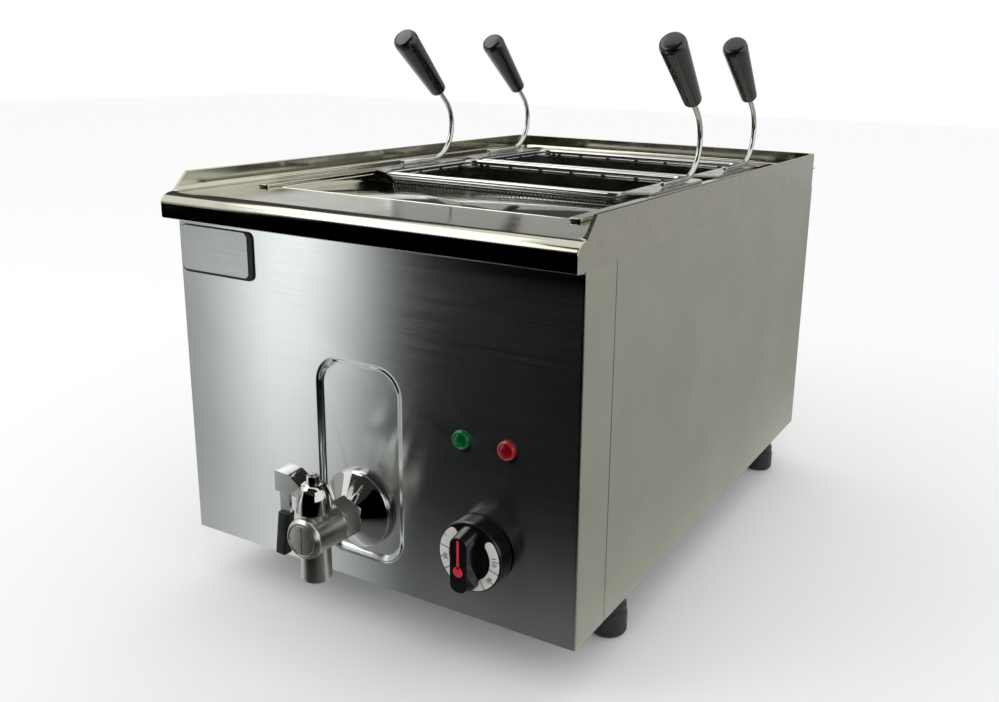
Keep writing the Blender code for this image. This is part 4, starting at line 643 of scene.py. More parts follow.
# Bright-rolled stainless of the top frame: nearly a mirror, a little soft.
FRAME_STEEL = PlatedMetal(
    "frame_bright_rolled_stainless", "frame_steel", "c6c4b4", "cbc9ba", 0.11, 0.02,
    grain=6.0, grain_depth=0.01, grain_strength=0.03,
)
# Polished stainless of the ledge in the well: a mirror with faint lines.
LEDGE_STEEL = PlatedMetal(
    "ledge_polished_stainless", "bright_steel", "d6d6ce", "dddcd6", 0.07, 0.02,
    grain=9.0, grain_depth=0.02, grain_strength=0.05,
)
# Electropolished stainless of rims, wires and perforated sheet: sparkling, hard contrast.
BASKET_STEEL = PlatedMetal(
    "basket_electropolished_stainless", "bright_steel", "d0d0cb", "dadad6", 0.16, 0.05,
    grain=1.5, grain_depth=0.01, grain_strength=0.08,
)
# Zinc-coated sheet under the body: pale grey with the spangle of dipped zinc.
ZINC_SHEET = PlatedMetal(
    "base_galvanised_sheet", "galvanised", "a3a7a8", "b4b8b9", 0.38, 0.08,
    grain=9.0, grain_depth=0.02, grain_strength=0.05,
)
# Chrome-plated brass of rosette and lever: mirror with hard dark and light patches.
CHROME = PlatedMetal(
    "tap_chrome_plated_brass", "chrome", "d6d6d2", "dededa", 0.07, 0.02,
    grain=3.0, grain_depth=0.005, grain_strength=0.05,
)
# Nickel-plated cast brass of the tap body: satin with a fine blasted grain.
NICKEL = PlatedMetal(
    "tap_body_satin_nickel", "satin_nickel", "dddbd3", "e8e6de", 0.30, 0.05,
    grain=0.7, grain_depth=0.03, grain_strength=0.25,
)
# Drawn and turned brass inside: yellow and dull.
BRASS = PlatedMetal("fittings_turned_brass", "brass", "b58d4c", "c29a58", 0.30, 0.05)
# Alloy sheath of the heating element, annealed dark by heat.
SHEATH = PlatedMetal("element_annealed_alloy_sheath", "element_sheath", "55504a", "6b655c", 0.40, 0.08)
# Drawn copper of the sensor bulb and its capillary.
COPPER = PlatedMetal("bulb_drawn_copper", "copper", "b4714e", "c0805c", 0.25, 0.05)
# White sintered PTFE of the ball seats.
SEAT_PTFE = MouldedPlastic(
    "seat_sintered_ptfe", "ptfe", "e4e4df", "efefea", 0.45, 0.05, ior=1.35, grain_strength=0.05
)
# Black phenolic of knob and grips, compression moulded and polished: deep black with a clear glint.
PHENOLIC = MouldedPlastic(
    "handle_polished_black_phenolic", "black_gloss", "08080a", "0d0d0f", 0.20, 0.04,
    ior=1.6, coat=0.35, grain=2.5, grain_depth=0.01, grain_strength=0.05,
)
# Black polyamide of feet and lever sleeve: matt, with a fine mould grain.
POLYAMIDE = MouldedPlastic(
    "foot_moulded_black_polyamide", "black_matt", "101112", "1a1b1c", 0.48, 0.06,
    ior=1.53, grain=0.9, grain_depth=0.03, grain_strength=0.25,
)
# Grey polycarbonate of terminals and lamp bodies.
GREY_PLASTIC = MouldedPlastic(
    "terminal_moulded_grey_polycarbonate", "grey_plastic", "8b8d8e", "989a9b", 0.42, 0.05, ior=1.58
)
# Tinted clear polycarbonate of the pilot lamps, unlit: dark colour with a bright rim. The rim is a lighter
# copy of the same plastic, as painted light.
GREEN_LENS = MouldedPlastic(
    "lamp_green_polycarbonate", "green_lens", "003a18", "00512a", 0.16, 0.03,
    ior=1.58, coat=0.3, grain=1.2, grain_depth=0.03, grain_strength=0.2,
)
RED_LENS = MouldedPlastic(
    "lamp_red_polycarbonate", "red_lens", "5a0208", "74060f", 0.16, 0.03,
    ior=1.58, coat=0.3, grain=1.2, grain_depth=0.03, grain_strength=0.2,
)
# Rims: the lens plastic made lighter, as painted light for the brightness their edges catch.
GREEN_RIM_PAINTED_LIGHT = MouldedPlastic(
    "lamp_green_rim_painted_light_polycarbonate", "green_lens", "06542e", "0a6238", 0.2, 0.03, ior=1.58, coat=0.3
)
RED_RIM_PAINTED_LIGHT = MouldedPlastic(
    "lamp_red_rim_painted_light_polycarbonate", "red_lens", "8e1420", "9c1c2a", 0.2, 0.03, ior=1.58, coat=0.3
)
# Anodised aluminium of the bare nameplate, brushed side to side.
PLATE_ALUMINIUM = GroundSteel(
    "nameplate_brushed_aluminium", "plate_face", "dcdedc", "e6e8e6", 0.30, 0.04,
    line_size=(30, 0.6, 0.6), line_depth=0.02, line_strength=0.25,
)
# Screen-printed inks on the dial.
WHITE_INK = MouldedPlastic(
    "dial_white_printed_ink", "black_gloss", "b9bab4", "c4c5bf", 0.42, 0.05, grain_strength=0.05
)
BLACK_INK = MouldedPlastic(
    "dial_black_printed_ink", "black_gloss", "0b0b0c", "101011", 0.42, 0.05, grain_strength=0.05
)
RED_INK = MouldedPlastic(
    "dial_red_printed_ink", "black_gloss", "b3162a", "c01c32", 0.35, 0.05, grain_strength=0.05
)


@dataclass
class Cabinet:
    """Body of the cooker: front panel, wrap round the sides and rear, and base tray."""

    half: float = 200.0
    depth: float = 581.0
    height: float = 292.7
    sheet: float = 1.2
    bend: float = 2.5
    fold: float = 48.6
    seam: float = 0.8
    hem: float = 1.0
    hem_depth: float = 5.0
    recess: tuple[float, float, float, float] = (-48.4, 40.5, 21.1, 194.6)
    recess_corner: float = 25.0
    recess_slope: float = 6.5
    recess_depth: float = 3.0
    recess_steps: int = 8
    pipe: tuple[float, float, float] = (-7.0, 65.5, 10.8)
    holes: tuple[tuple[float, float, float], ...] = (
        (115.7, 62.5, 5.0),
        (97.0, 149.0, 6.1),
        (138.0, 149.0, 6.1),
    )
    gland: tuple[float, float, float] = (-150.0, 45.0, 8.3)

    def build(self) -> None:
        """Make the three parts of the body."""
        self.front_panel()
        self.wrap()
        refined_copy("base_tray", ZINC_SHEET, 0.0)

    def hole(self, shape: Shape, x: float, z: float, radius: float, y: float) -> Edges:
        """Draw a round hole's edge in an upright sheet.

        Args:
            shape: the sheet's shape.
            x: place across, in mm.
            z: height, in mm.
            radius: hole radius, in mm.
            y: the sheet's plane, in metres.

        Returns:
            The edges of the hole.
        """
        place = Plane.FACE.matrix(Vector((x * MM, y, BASE_Z + z * MM)))
        verts = bmesh.ops.create_circle(shape.bm, segments=32, radius=radius * MM, matrix=place)["verts"]
        return list({e for v in verts for e in v.link_edges})

    def front_panel(self) -> None:
        """Fold the front sheet, press its recess and punch its holes."""
        shape = Shape()
        flat = self.half - self.bend
        left, right, low, high = self.recess
        middle = at((left + right) / 2, 0, (low + high) / 2)
        face = shape.plate(right - left, high - low, self.recess_corner, 10)
        shape.move(Plane.FACE.matrix(middle))
        recess_edges = list(face.edges)
        outer = shape.line([at(x, 0, z) for x, z in self.flat_corners(flat)], closed=True)
        holes = [e for h in self.holes for e in self.hole(shape, *h, FRONT_Y)]
        shape.fill(outer + recess_edges + holes, (0, -1, 0))
        self.press(shape, face)
        for side in (1, -1):
            seam = [e for e in outer if all(abs(v.co.x - side * flat * MM) < MM / 10 for v in e.verts)]
            centre = at(side * flat, self.bend, 0)
            seam = shape.bend(seam, centre, (0, 0, 1), side * 90, 8)
            seam = shape.sweep(seam, (0, (self.fold - self.bend - self.hem) * MM, 0))
            centre = at(side * (self.half - self.hem), self.fold - self.hem, 0)
            seam = shape.bend(seam, centre, (0, 0, 1), side * 90, 4)
            shape.sweep(seam, (-side * self.hem_depth * MM, 0, 0))
        shape.look_away_from(at(0, 30, 150))
        piece = shape.piece("front_panel_sheet", FRONT_STEEL, "cabinet", 40)
        lay_grain(piece, lambda co: (co.z, co.x + math.copysign(1, co.x) * (co.y - FRONT_Y)))
        piece.data.materials.append(SIDE_STEEL.material())
        for polygon in piece.data.polygons:
            polygon.material_index = int(abs(polygon.center.x) > (self.half - 0.4) * MM)
        give_thickness(piece, self.sheet)
        even_shading(piece)
        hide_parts("front_panel")

    def flat_corners(self, flat: float) -> list[tuple[float, float]]:
        """Give the corners of the flat front between the two bends."""
        return [(-flat, 0), (flat, 0), (flat, self.height), (-flat, self.height)]

    def press(self, shape: Shape, face: bmesh.types.BMFace) -> None:
        """Press the recess by small insets that follow a soft slope.

        Args:
            shape: the panel's shape.
            face: the face inside the recess's outline.
        """
        sunk = 0.0
        for step in range(1, self.recess_steps + 1):
            share = step / self.recess_steps
            wanted = self.recess_depth * (1 - math.cos(math.pi * share)) / 2
            bmesh.ops.inset_region(
                shape.bm,
                faces=[face],
                thickness=self.recess_slope / self.recess_steps * MM,
                use_even_offset=True,
                use_boundary=True,
            )
            bmesh.ops.translate(shape.bm, vec=(0, (wanted - sunk) * MM, 0), verts=list(face.verts))
            sunk = wanted
        rim = list(face.edges)
        bmesh.ops.delete(shape.bm, geom=[face], context="FACES_ONLY")
        pipe = self.hole(shape, *self.pipe, FRONT_Y + self.recess_depth * MM)
        shape.fill(rim + pipe, (0, -1, 0))

    def wrap(self) -> None:
        """Fold the sheet that makes both sides and the rear."""
        shape = Shape()
        start = self.fold + self.seam
        flat = self.half - self.bend
        x = self.half - self.hem - self.hem_depth
        seam = shape.line([at(x, start, 0), at(x, start, self.height)])
        seam = shape.sweep(seam, (self.hem_depth * MM, 0, 0))
        seam = shape.bend(seam, at(self.half - self.hem, start + self.hem, 0), (0, 0, 1), 90, 4)
        seam = shape.sweep(seam, (0, (self.depth - self.bend - start - self.hem) * MM, 0))
        seam = shape.bend(seam, at(flat, self.depth - self.bend, 0), (0, 0, 1), 90, 8)
        first = seam
        seam = shape.sweep(seam, (-2 * flat * MM, 0, 0))
        back = [f for f in first[0].link_faces if abs(f.calc_center_median().x) < MM][0]
        rim = list(back.edges)
        bmesh.ops.delete(shape.bm, geom=[back], context="FACES_ONLY")
        hole = self.hole(shape, *self.gland, FRONT_Y + self.depth * MM)
        shape.fill(rim + hole, (0, 1, 0))
        seam = shape.bend(seam, at(-flat, self.depth - self.bend, 0), (0, 0, 1), 90, 8)
        seam = shape.sweep(seam, (0, -(self.depth - self.bend - start - self.hem) * MM, 0))
        seam = shape.bend(seam, at(-(self.half - self.hem), start + self.hem, 0), (0, 0, 1), 90, 4)
        shape.sweep(seam, (self.hem_depth * MM, 0, 0))
        shape.look_away_from(BODY_MIDDLE)
        piece = shape.piece("body_wrap_sheet", SIDE_STEEL, "cabinet", 40)
        give_thickness(piece, self.sheet)
        even_shading(piece)
        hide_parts("body_wrap")


@dataclass
class TopFrame:
    """Bright top: rounded nose, deck with the well opening, upstand on three sides and well rails."""

    half: float = 201.0
    wall: float = 3.0
    depth: float = 581.0
    low: float = 293.0
    deck: float = 315.2
    top: float = 331.3
    nose_reach: float = 16.0
    nose_face: float = 306.0
    nose_end: float = -2.5
    nose_steps: int = 18
    slope_end: float = 12.5
    cove: float = 4.5
    corner: float = 6.0
    well: tuple[float, float, float, float] = (-151.0, 151.0, 70.0, 548.0)
    well_corner: float = 7.0
    lip_drop: float = 8.0
    lip_edge: float = 1.4
    rail_middle: float = 158.0
    rail_width: float = 12.0
    rail_ends: tuple[float, float] = (60.0, 558.0)
    rail_low: float = 315.5
    rail_thickness: float = 2.5

    def build(self) -> None:
        """Make deck, upstand and rails."""
        deck = self.deck_sheet()
        upstand = self.upstand()
        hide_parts("top_frame")
        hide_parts("top_frame")
        for name, side in (("left", -1), ("right", 1)):
            self.rail(name, side)

    def deck_sheet(self) -> bpy.types.Object:
        """Form the deck, its well lip and the nose along its front.

        Returns:
            The piece.
        """
        shape = Shape()
        left, right, front, rear = self.well
        face = shape.plate(right - left, rear - front, self.well_corner, 8)
        shape.move(Plane.PLAN.matrix(at((left + right) / 2, (front + rear) / 2, self.deck)))
        lip = list(face.edges)
        bmesh.ops.delete(shape.bm, geom=[face], context="FACES_ONLY")
        inside = self.depth - self.wall / 2
        corners = ((-1, self.nose_end), (1, self.nose_end), (1, inside), (-1, inside))
        outer = shape.line([at(s * self.half, d, self.deck) for s, d in corners], closed=True)
        front_edge = [outer[0]]
        shape.fill(outer + lip, (0, 0, 1))
        shape.sweep(lip, (0, 0, -self.lip_drop * MM))
        shape.soften(lip, self.lip_edge, 4)
        self.nose(shape, front_edge)
        shape.look_away_from(at(0, 290, 200))
        piece = shape.piece("frame_deck_and_nose", FRAME_STEEL, "cabinet", 50)
        give_thickness(piece, 1.2)
        even_shading(piece)
        return piece

    def nose(self, shape: Shape, edge: Edges) -> None:
        """Roll the front of the deck into the nose and close its two ends.

        Args:
            shape: the deck's shape.
            edge: the front edge of the deck.
        """
        long_half = self.nose_reach + self.nose_end
        tall_half = self.deck - self.nose_face
        path = [(self.nose_end, self.deck)]
        for step in range(1, self.nose_steps + 1):
            angle = math.radians(90 * step / self.nose_steps)
            depth = self.nose_end - long_half * math.sin(angle)
            path.append((depth, self.nose_face + tall_half * math.cos(angle)))
        path += [(-self.nose_reach, self.low + 2), (-self.nose_reach + 0.6, self.low + 0.6)]
        path += [(-self.nose_reach + 2, self.low), (self.nose_end + 1, self.low)]
        ends = {-1: [], 1: []}
        for (d0, h0), (d1, h1) in zip(path, path[1:]):
            edge = shape.sweep(edge, (0, (d1 - d0) * MM, (h1 - h0) * MM))
            for line in edge[0].link_faces[0].edges:
                for side, found in ends.items():
                    if all(abs(v.co.x - side * self.half * MM) < MM / 10 for v in line.verts):
                        found.append(line)
        for side, edges in ends.items():
            tips = sorted({v for e in edges for v in e.verts}, key=lambda v: -v.co.y)
            high = max(tips[:2], key=lambda v: v.co.z)
            lowest = min(tips[:2], key=lambda v: v.co.z)
            closing = shape.bm.edges.new((high, lowest))
            bmesh.ops.holes_fill(shape.bm, edges=edges + [closing], sides=0)
            shape.soften(edges, 0.9, 3)

    def upstand(self) -> bpy.types.Object:
        """Sweep the upstand's section round three sides, with a sloped front at each end.

        Returns:
            The piece.
        """
        shape = Shape()
        inner = self.half - self.wall
        floor = self.deck + 0.05
        section = [
            (inner - self.cove - 0.2, floor),
            (inner, floor, self.cove),
            (inner, self.top, 0.7),
            (self.half, self.top, 1.1),
            (self.half, floor),
            (self.half, self.low, 0.7),
            (self.half - self.wall + 0.6, self.low),
        ]
        shape.profile([(-p[0], *p[1:]) for p in section])
        shape.move(Matrix.Translation(at(0, self.nose_end, 0)))
        edges = shape.bm.edges[:]
        start = list({v for e in edges for v in e.verts})
        back = self.depth - self.wall - self.corner
        side = inner - self.corner
        edges = shape.sweep(edges, (0, (back - self.nose_end) * MM, 0))
        edges = shape.bend(edges, at(-side, back, 0), (0, 0, 1), -90, 10)
        edges = shape.sweep(edges, (2 * side * MM, 0, 0))
        edges = shape.bend(edges, at(side, back, 0), (0, 0, 1), -90, 10)
        edges = shape.sweep(edges, (0, -(back - self.nose_end) * MM, 0))
        finish = list({v for e in edges for v in e.verts})
        lean = (self.slope_end - self.nose_end) / (self.top - self.deck)
        for verts in (start, finish):
            above = [v for v in verts if v.co.z > BASE_Z + (floor - 0.01) * MM]
            for vert in above:
                vert.co.y += (vert.co.z - BASE_Z - floor * MM) * lean
            edges = [e for e in shape.bm.edges if e.verts[0] in above and e.verts[1] in above]
            level = [v for v in above if v.co.z < BASE_Z + (floor + 0.02) * MM]
            level.sort(key=lambda v: abs(v.co.x))
            edges.append(shape.bm.edges.new((level[0], level[-1])))
            bmesh.ops.holes_fill(shape.bm, edges=edges, sides=0)
        bmesh.ops.recalc_face_normals(shape.bm, faces=shape.bm.faces[:])
        self.turn_up(shape)
        piece = shape.piece("frame_upstand", FRAME_STEEL, "cabinet", 50)
        even_shading(piece)
        return piece

    def turn_up(self, shape: Shape) -> None:
        """Turn the upstand's faces so that its top edge looks up."""
        shape.bm.normal_update()
        height = BASE_Z + self.top * MM
        flats = [f for f in shape.bm.faces if abs(f.calc_center_median().z - height) < MM / 10]
        if sum(f.normal.z * f.calc_area() for f in flats) < 0:
            bmesh.ops.reverse_faces(shape.bm, faces=shape.bm.faces[:])

    def rail(self, name: str, side: int) -> None:
        """Lay the folded strip that covers the well's edge on one side.

        Args:
            name: left or right.
            side: -1 or 1.
        """
        shape = Shape()
        front, rear = self.rail_ends
        top = shape.raise_face(shape.plate(self.rail_width, rear - front, 3.0), self.rail_thickness)
        shape.soften(top.edges, 0.9, 3)
        shape.move(Plane.PLAN.matrix(at(side * self.rail_middle, (front + rear) / 2, self.rail_low)))
        piece = shape.piece(f"well_rail_{name}_strip", FRAME_STEEL, "cabinet")
        even_shading(piece)
        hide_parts(f"well_rail_{name}")


@dataclass
class Well:
    """Boiling tank, the ledge in front of it and what lies in it."""

    ledge_size: tuple[float, float, float] = (301.4, 122.5, 309.2)
    ledge_start: float = 70.4
    ledge_corner: float = 5.0
    ledge_thickness: float = 1.2
    copies: tuple[tuple[str, Finish, float], ...] = (
        ("tank", BASKET_STEEL, 0.0),
        ("support_grid", BASKET_STEEL, 0.0),
        ("heating_element", SHEATH, 0.0),
        ("drain_pipe", BASKET_STEEL, 0.0),
        ("thermostat_bulb", COPPER, 0.0),
        ("thermostat_body", GREY_PLASTIC, 0.4),
        ("thermostat_spindle", BRASS, 0.2),
        ("overheat_cutout", BASKET_STEEL, 0.2),
        ("terminal_block", GREY_PLASTIC, 0.3),
        ("cable_gland", POLYAMIDE, 0.5),
        ("gland_nut", POLYAMIDE, 0.4),
    )

    def build(self) -> None:
        """Lay the ledge and finish the tank, grid, element, drain and sensors."""
        self.ledge()
        for node, finish, edge in self.copies:
            refined_copy(node, finish, edge)

    def ledge(self) -> None:
        """Lay the polished ledge in front of the baskets, just below the deck."""
        shape = Shape()
        width, length, height = self.ledge_size
        top = shape.raise_face(shape.plate(width, length, self.ledge_corner), self.ledge_thickness)
        shape.soften(top.edges, 0.4, 2)
        place = at(0, self.ledge_start + length / 2, height - self.ledge_thickness)
        shape.move(Plane.PLAN.matrix(place))
        shape.piece("well_front_ledge", LEDGE_STEEL, "cabinet")


class BentRod:
    """A round rod drawn by straight runs and bends, growing from a ring of edges."""

    def __init__(self, radius: float, start: Point, facing: Point, sides: int = 14) -> None:
        """Draw the first ring.

        Args:
            radius: rod radius in mm.
            start: middle of the ring, in metres.
            facing: the direction the rod starts in.
            sides: facets round the rod.
        """
        self.shape = Shape()
        turn = Vector((0, 0, 1)).rotation_difference(Vector(facing)).to_matrix().to_4x4()
        verts = bmesh.ops.create_circle(
            self.shape.bm, segments=sides, radius=radius * MM, matrix=Matrix.Translation(start) @ turn
        )["verts"]
        self.edges = list({e for v in verts for e in v.link_edges})

    def run(self, step: Point) -> "BentRod":
        """Go straight by a step in metres."""
        self.edges = self.shape.sweep(self.edges, step)
        return self

    def turn(self, centre: Point, axis: Point, degrees: float, steps: int = 8) -> "BentRod":
        """Bend round an axis through a point in metres."""
        self.edges = self.shape.bend(self.edges, centre, axis, degrees, steps)
        return self

    def finish(self) -> Shape:
        """Close the ends, or weld them where they meet."""
        self.shape.close()
        return self.shape


@dataclass
class Basket:
    """One lift-out basket: perforated wall and floor, band, rim rod, end flanges and two handles."""

    name: str = "front"
    front: float = 195.0
    length: float = 160.0
    half: float = 134.0
    flange_top: float = 320.3
    bottom: float = 152.0
    rim: float = 3.0
    rim_corner: float = 16.0
    wall_gap: float = 0.6
    corner: float = 14.0
    floor_radius: float = 12.0
    floor_lift: float = 0.4
    pitch: float = 4.2
    hole_share: float = 0.36
    band_top: float = 315.6
    band_low: float = 311.4
    flange_outer: float = 155.0
    flange_setback: float = 3.0
    flange_slope: float = 16.0
    flange_length: float = 145.0
    flange_end: float = 9.0
    flange_thickness: float = 2.0
    tabs_along: tuple[float, ...] = (-114, -106, -76, -38, 0, 38, 76, 106, 114)
    tabs_across: tuple[float, ...] = (25, 62, 98, 135)
    tab_width: float = 5.0
    tab_thickness: float = 1.6
    slot_x: float = 141.0
    slot_depths: tuple[float, ...] = (30, 84, 128)
    handle_x: float = 147.5
    wire: float = 2.75
    wire_start: float = 54.0
    wire_flat_end: float = 110.0
    wire_bend: float = 35.0
    wire_turn: float = 138.2
    wire_to_grip: float = 16.5
    grip_length: float = 83.0
    grip_top: float = 13.2
    grip_low: float = 8.6

    @property
    def body(self) -> str:
        """Give the CAD body that the basket is."""
        return f"basket_{self.name}"

    @property
    def wall_half(self) -> float:
        """Give half the width over the outer wall."""
        return self.half - self.rim - self.wall_gap

    @property
    def wall_half_length(self) -> float:
        """Give half the length over the outer wall."""
        return self.length / 2 - self.rim - self.wall_gap

    @property
    def wall_start(self) -> float:
        """Give the depth of the wall's front."""
        return self.front + self.rim + self.wall_gap

    @property
    def middle(self) -> float:
        """Give the depth of the basket's middle."""
        return self.front + self.length / 2

    def build(self) -> None:
        """Make every piece of the basket."""
        self.perforated_wall()
        self.band()
        self.rim_and_flanges()
        self.slot_shade_plates()
        for name, side in (("left", -1), ("right", 1)):
            self.handle(name, side)

    def wall_point(self, along: float, inward: float) -> tuple[float, float]:
        """Follow the wall's outline in plan.

        Args:
            along: share of the way round, from 0 to 1.
            inward: how far inside the outer outline, in mm.

        Returns:
            X and depth, in mm.
        """
        half_x = self.wall_half - self.corner
        half_y = self.wall_half_length - self.corner
        arc = math.pi / 2 * self.corner
        lengths = (2 * half_x, arc, 2 * half_y, arc) * 2
        left = along % 1 * sum(lengths)
        radius = self.corner - inward
        quarter = 0
        for index, length in enumerate(lengths):
            quarter = index // 2
            if left <= length or index == 7:
                break
            left -= length
        turn = math.radians(90 * quarter)
        across = (half_x, half_y) if quarter % 2 == 0 else (half_y, half_x)
        if index % 2 == 0:
            x, y = left - across[0], -across[1] - radius
        else:
            angle = left / self.corner
            x = across[0] + radius * math.sin(angle)
            y = -across[1] - radius * math.cos(angle)
        return (
            x * math.cos(turn) - y * math.sin(turn),
            self.middle + x * math.sin(turn) + y * math.cos(turn),
        )

    def cell(self, shape: Shape, width: float, height: float) -> None:
        """Draw one six-sided cell with its hole.

        Args:
            shape: the shape to draw in.
            width: pitch across, in mm.
            height: row spacing, in mm.
        """
        made = bmesh.ops.create_circle(shape.bm, cap_ends=True, segments=6, radius=1.0)["verts"]
        bmesh.ops.rotate(shape.bm, verts=made, cent=(0, 0, 0), matrix=Matrix.Rotation(math.pi / 6, 3, "Z"))
        stretch = (width * MM / math.sqrt(3), height * MM / 1.5, 1)
        bmesh.ops.scale(shape.bm, vec=stretch, verts=made)
        face = made[0].link_faces[0]
        bmesh.ops.inset_individual(
            shape.bm, faces=[face], thickness=(0.5 - self.hole_share) * self.pitch * MM * 1.4
        )
        bmesh.ops.delete(shape.bm, geom=[face], context="FACES")

    def tile(self, shape: Shape, step: Vector, count: int, shift: Vector = Vector()) -> None:
        """Repeat all that is drawn, each time moved by a step and every second time by a shift too.

        Args:
            shape: the shape.
            step: the move, in metres.
            count: how many there are in the end.
            shift: the extra move of every second one.
        """
        first = shape.bm.verts[:] + shape.bm.edges[:] + shape.bm.faces[:]
        for index in range(1, count):
            copy = bmesh.ops.duplicate(shape.bm, geom=first)["geom"]
            verts = [g for g in copy if isinstance(g, bmesh.types.BMVert)]
            bmesh.ops.translate(shape.bm, vec=step * index + shift * (index % 2), verts=verts)

    def perforated(self, width: float, columns: int, row: float, rows: int) -> Shape:
        """Punch a flat sheet of cells.

        Args:
            width: pitch across, in mm.
            columns: how many holes are in a row.
            row: row spacing, in mm.
            rows: how many rows there are.

        Returns:
            The sheet in x and y, from the origin.
        """
        shape = Shape()
        self.cell(shape, width, row)
        self.tile(shape, Vector((width * MM, 0, 0)), columns)
        self.tile(shape, Vector((0, row * MM, 0)), rows, Vector((width / 2 * MM, 0, 0)))
        return shape

    def perforated_wall(self) -> None:
        """Wrap a punched strip round the wall and into the floor, and lay the punched floor."""
        arc = math.pi / 2 * self.floor_radius
        around = 4 * (self.wall_half + self.wall_half_length) - (8 - math.tau) * self.corner
        columns = round(around / self.pitch)
        upright = self.band_low + 2 - self.bottom - self.floor_radius
        row = self.pitch * math.sqrt(3) / 2
        rows = round((upright + arc) / row) + 1
        shape = self.perforated(around / columns, columns, row, rows)
        for vert in shape.bm.verts:
            down = vert.co.y / MM
            inward = 0.5
            height = self.band_low + 2 - down
            if down > upright:
                angle = min((down - upright) / self.floor_radius, math.pi / 2)
                inward += self.floor_radius * (1 - math.cos(angle))
                height = self.bottom + self.floor_radius * (1 - math.sin(angle)) + self.floor_lift
            x, depth = self.wall_point(vert.co.x / MM / around, inward)
            vert.co = at(x, depth, height)
        shape.add(self.floor(row))
        bmesh.ops.remove_doubles(shape.bm, verts=shape.bm.verts[:], dist=0.05 * MM)
        shape.look_away_from(at(0, self.middle, 240))
        piece = shape.piece(f"basket_{self.name}_perforated", BASKET_STEEL, self.body, 180)
        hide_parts(f"basket_{self.name}_shell")

    def floor(self, row: float) -> Shape:
        """Punch the floor and trim it to its outline.

        Args:
            row: row spacing, in mm.

        Returns:
            The floor.
        """
        half_x = self.wall_half - self.floor_radius
        half_y = self.wall_half_length - self.floor_radius
        columns = math.ceil(2 * half_x / self.pitch) + 2
        rows = math.ceil(2 * half_y / row) + 2
        shape = self.perforated(self.pitch, columns, row, rows)
        middle = Vector((-columns * self.pitch / 2 * MM, -rows * row / 2 * MM, 0))
        bmesh.ops.translate(shape.bm, vec=middle, verts=shape.bm.verts[:])
        sides = [((way, 0, 0), half_x) for way in (1, -1)] + [((0, way, 0), half_y) for way in (1, -1)]
        for normal, limit in sides:
            bmesh.ops.bisect_plane(
                shape.bm,
                geom=shape.bm.verts[:] + shape.bm.edges[:] + shape.bm.faces[:],
                plane_co=Vector(normal) * limit * MM,
                plane_no=normal,
                clear_outer=True,
            )
        shape.move(Plane.PLAN.matrix(at(0, self.middle, self.bottom + self.floor_lift)))
        return shape

    def band(self) -> None:
        """Bend the solid band above the holes, with tabs up to the rim."""
        shape = Shape()
        inset = self.rim + 0.4
        size = (2 * (self.half - inset), self.length - 2 * inset)
        face = shape.plate(*size, self.corner, 8)
        edges = list(face.edges)
        bmesh.ops.delete(shape.bm, geom=[face], context="FACES_ONLY")
        shape.sweep(edges, (0, 0, (self.band_top - self.band_low) * MM))
        shape.move(Plane.PLAN.matrix(at(0, self.middle, self.band_low)))
        shape.look_away_from(at(0, self.middle, (self.band_top + self.band_low) / 2))
        piece = shape.piece(f"basket_{self.name}_band", BASKET_STEEL, self.body, 40)
        give_thickness(piece, 1.0)
        self.tabs()

    def tabs(self) -> None:
        """Stand the short welded tabs between band and rim."""
        shape = Shape()
        low, high = self.band_top - 4, self.flange_top - self.rim
        places = []
        for depth in (self.wall_start + 0.9, self.front + self.length - self.rim - 1.5):
            places += [(x, depth, self.tab_width, self.tab_thickness) for x in self.tabs_along]
        for x in (-self.wall_half + 0.9, self.wall_half - 0.9):
            places += [(x, self.front + d, self.tab_thickness, self.tab_width) for d in self.tabs_across]
        for x, depth, wide, deep in places:
            tab = Shape()
            top = tab.raise_face(tab.plate(wide, deep, 0.6, 2), high - low)
            tab.soften(top.edges, 0.3, 1)
            tab.move(Plane.PLAN.matrix(at(x, depth, low)))
            shape.add(tab)
        shape.piece(f"basket_{self.name}_tabs", BASKET_STEEL, self.body)

    def rim_and_flanges(self) -> None:
        """Bend the rim rod round the top and weld a flat flange on each end."""
        height = self.flange_top - self.rim
        reach = self.half - self.rim_corner
        rear = self.front + self.length
        front_line, rear_line = self.front + self.rim, rear - self.rim
        side = self.half - self.rim
        corner = self.rim_corner - self.rim
        long_run = 2 * (side - corner) * MM
        short_run = (rear_line - front_line - 2 * corner) * MM
        rod = BentRod(self.rim, at(-reach, front_line, height), (1, 0, 0))
        sides = (
            ((long_run, 0, 0), reach, front_line + corner),
            ((0, short_run, 0), reach, rear_line - corner),
            ((-long_run, 0, 0), -reach, rear_line - corner),
            ((0, -short_run, 0), -reach, front_line + corner),
        )
        for run, x, depth in sides:
            rod.run(run)
            rod.turn(at(x, depth, height), (0, 0, 1), 90)
        shape = rod.finish()
        for way in (-1, 1):
            shape.add(self.flange(way))
        piece = shape.piece(f"basket_{self.name}_rim", BASKET_STEEL, self.body)
        even_shading(piece)
        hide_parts(f"basket_{self.name}_frame")

    def flange(self, way: int) -> Shape:
        """Cut one flat end flange with a sloped front and a round rear corner.

        Args:
            way: -1 for the left end, 1 for the right one.

        Returns:
            The flange.
        """
        shape = Shape()
        inner = self.half - self.rim
        start = self.flange_setback
        corners = [
            (inner, start),
            (self.flange_outer, start + self.flange_slope),
            (self.flange_outer, self.flange_length),
            (inner, self.flange_length),
        ]
        edges = shape.line([(way * x * MM, y * MM, 0) for x, y in corners], closed=True)
        face = shape.bm.faces.new([e.verts[0] for e in edges])
        shape.bm.verts.ensure_lookup_table()
        for index, radius in ((2, self.flange_end), (1, 4.0)):
            shape.round_corners([shape.bm.verts[index]], radius, 6)
            shape.bm.verts.ensure_lookup_table()
        top = shape.raise_face(shape.bm.faces[:][0] if not face.is_valid else face, self.flange_thickness)
        shape.soften(top.edges, 0.5, 2)
        return shape.move(Matrix.Translation(at(0, self.front, self.flange_top - self.flange_thickness)))

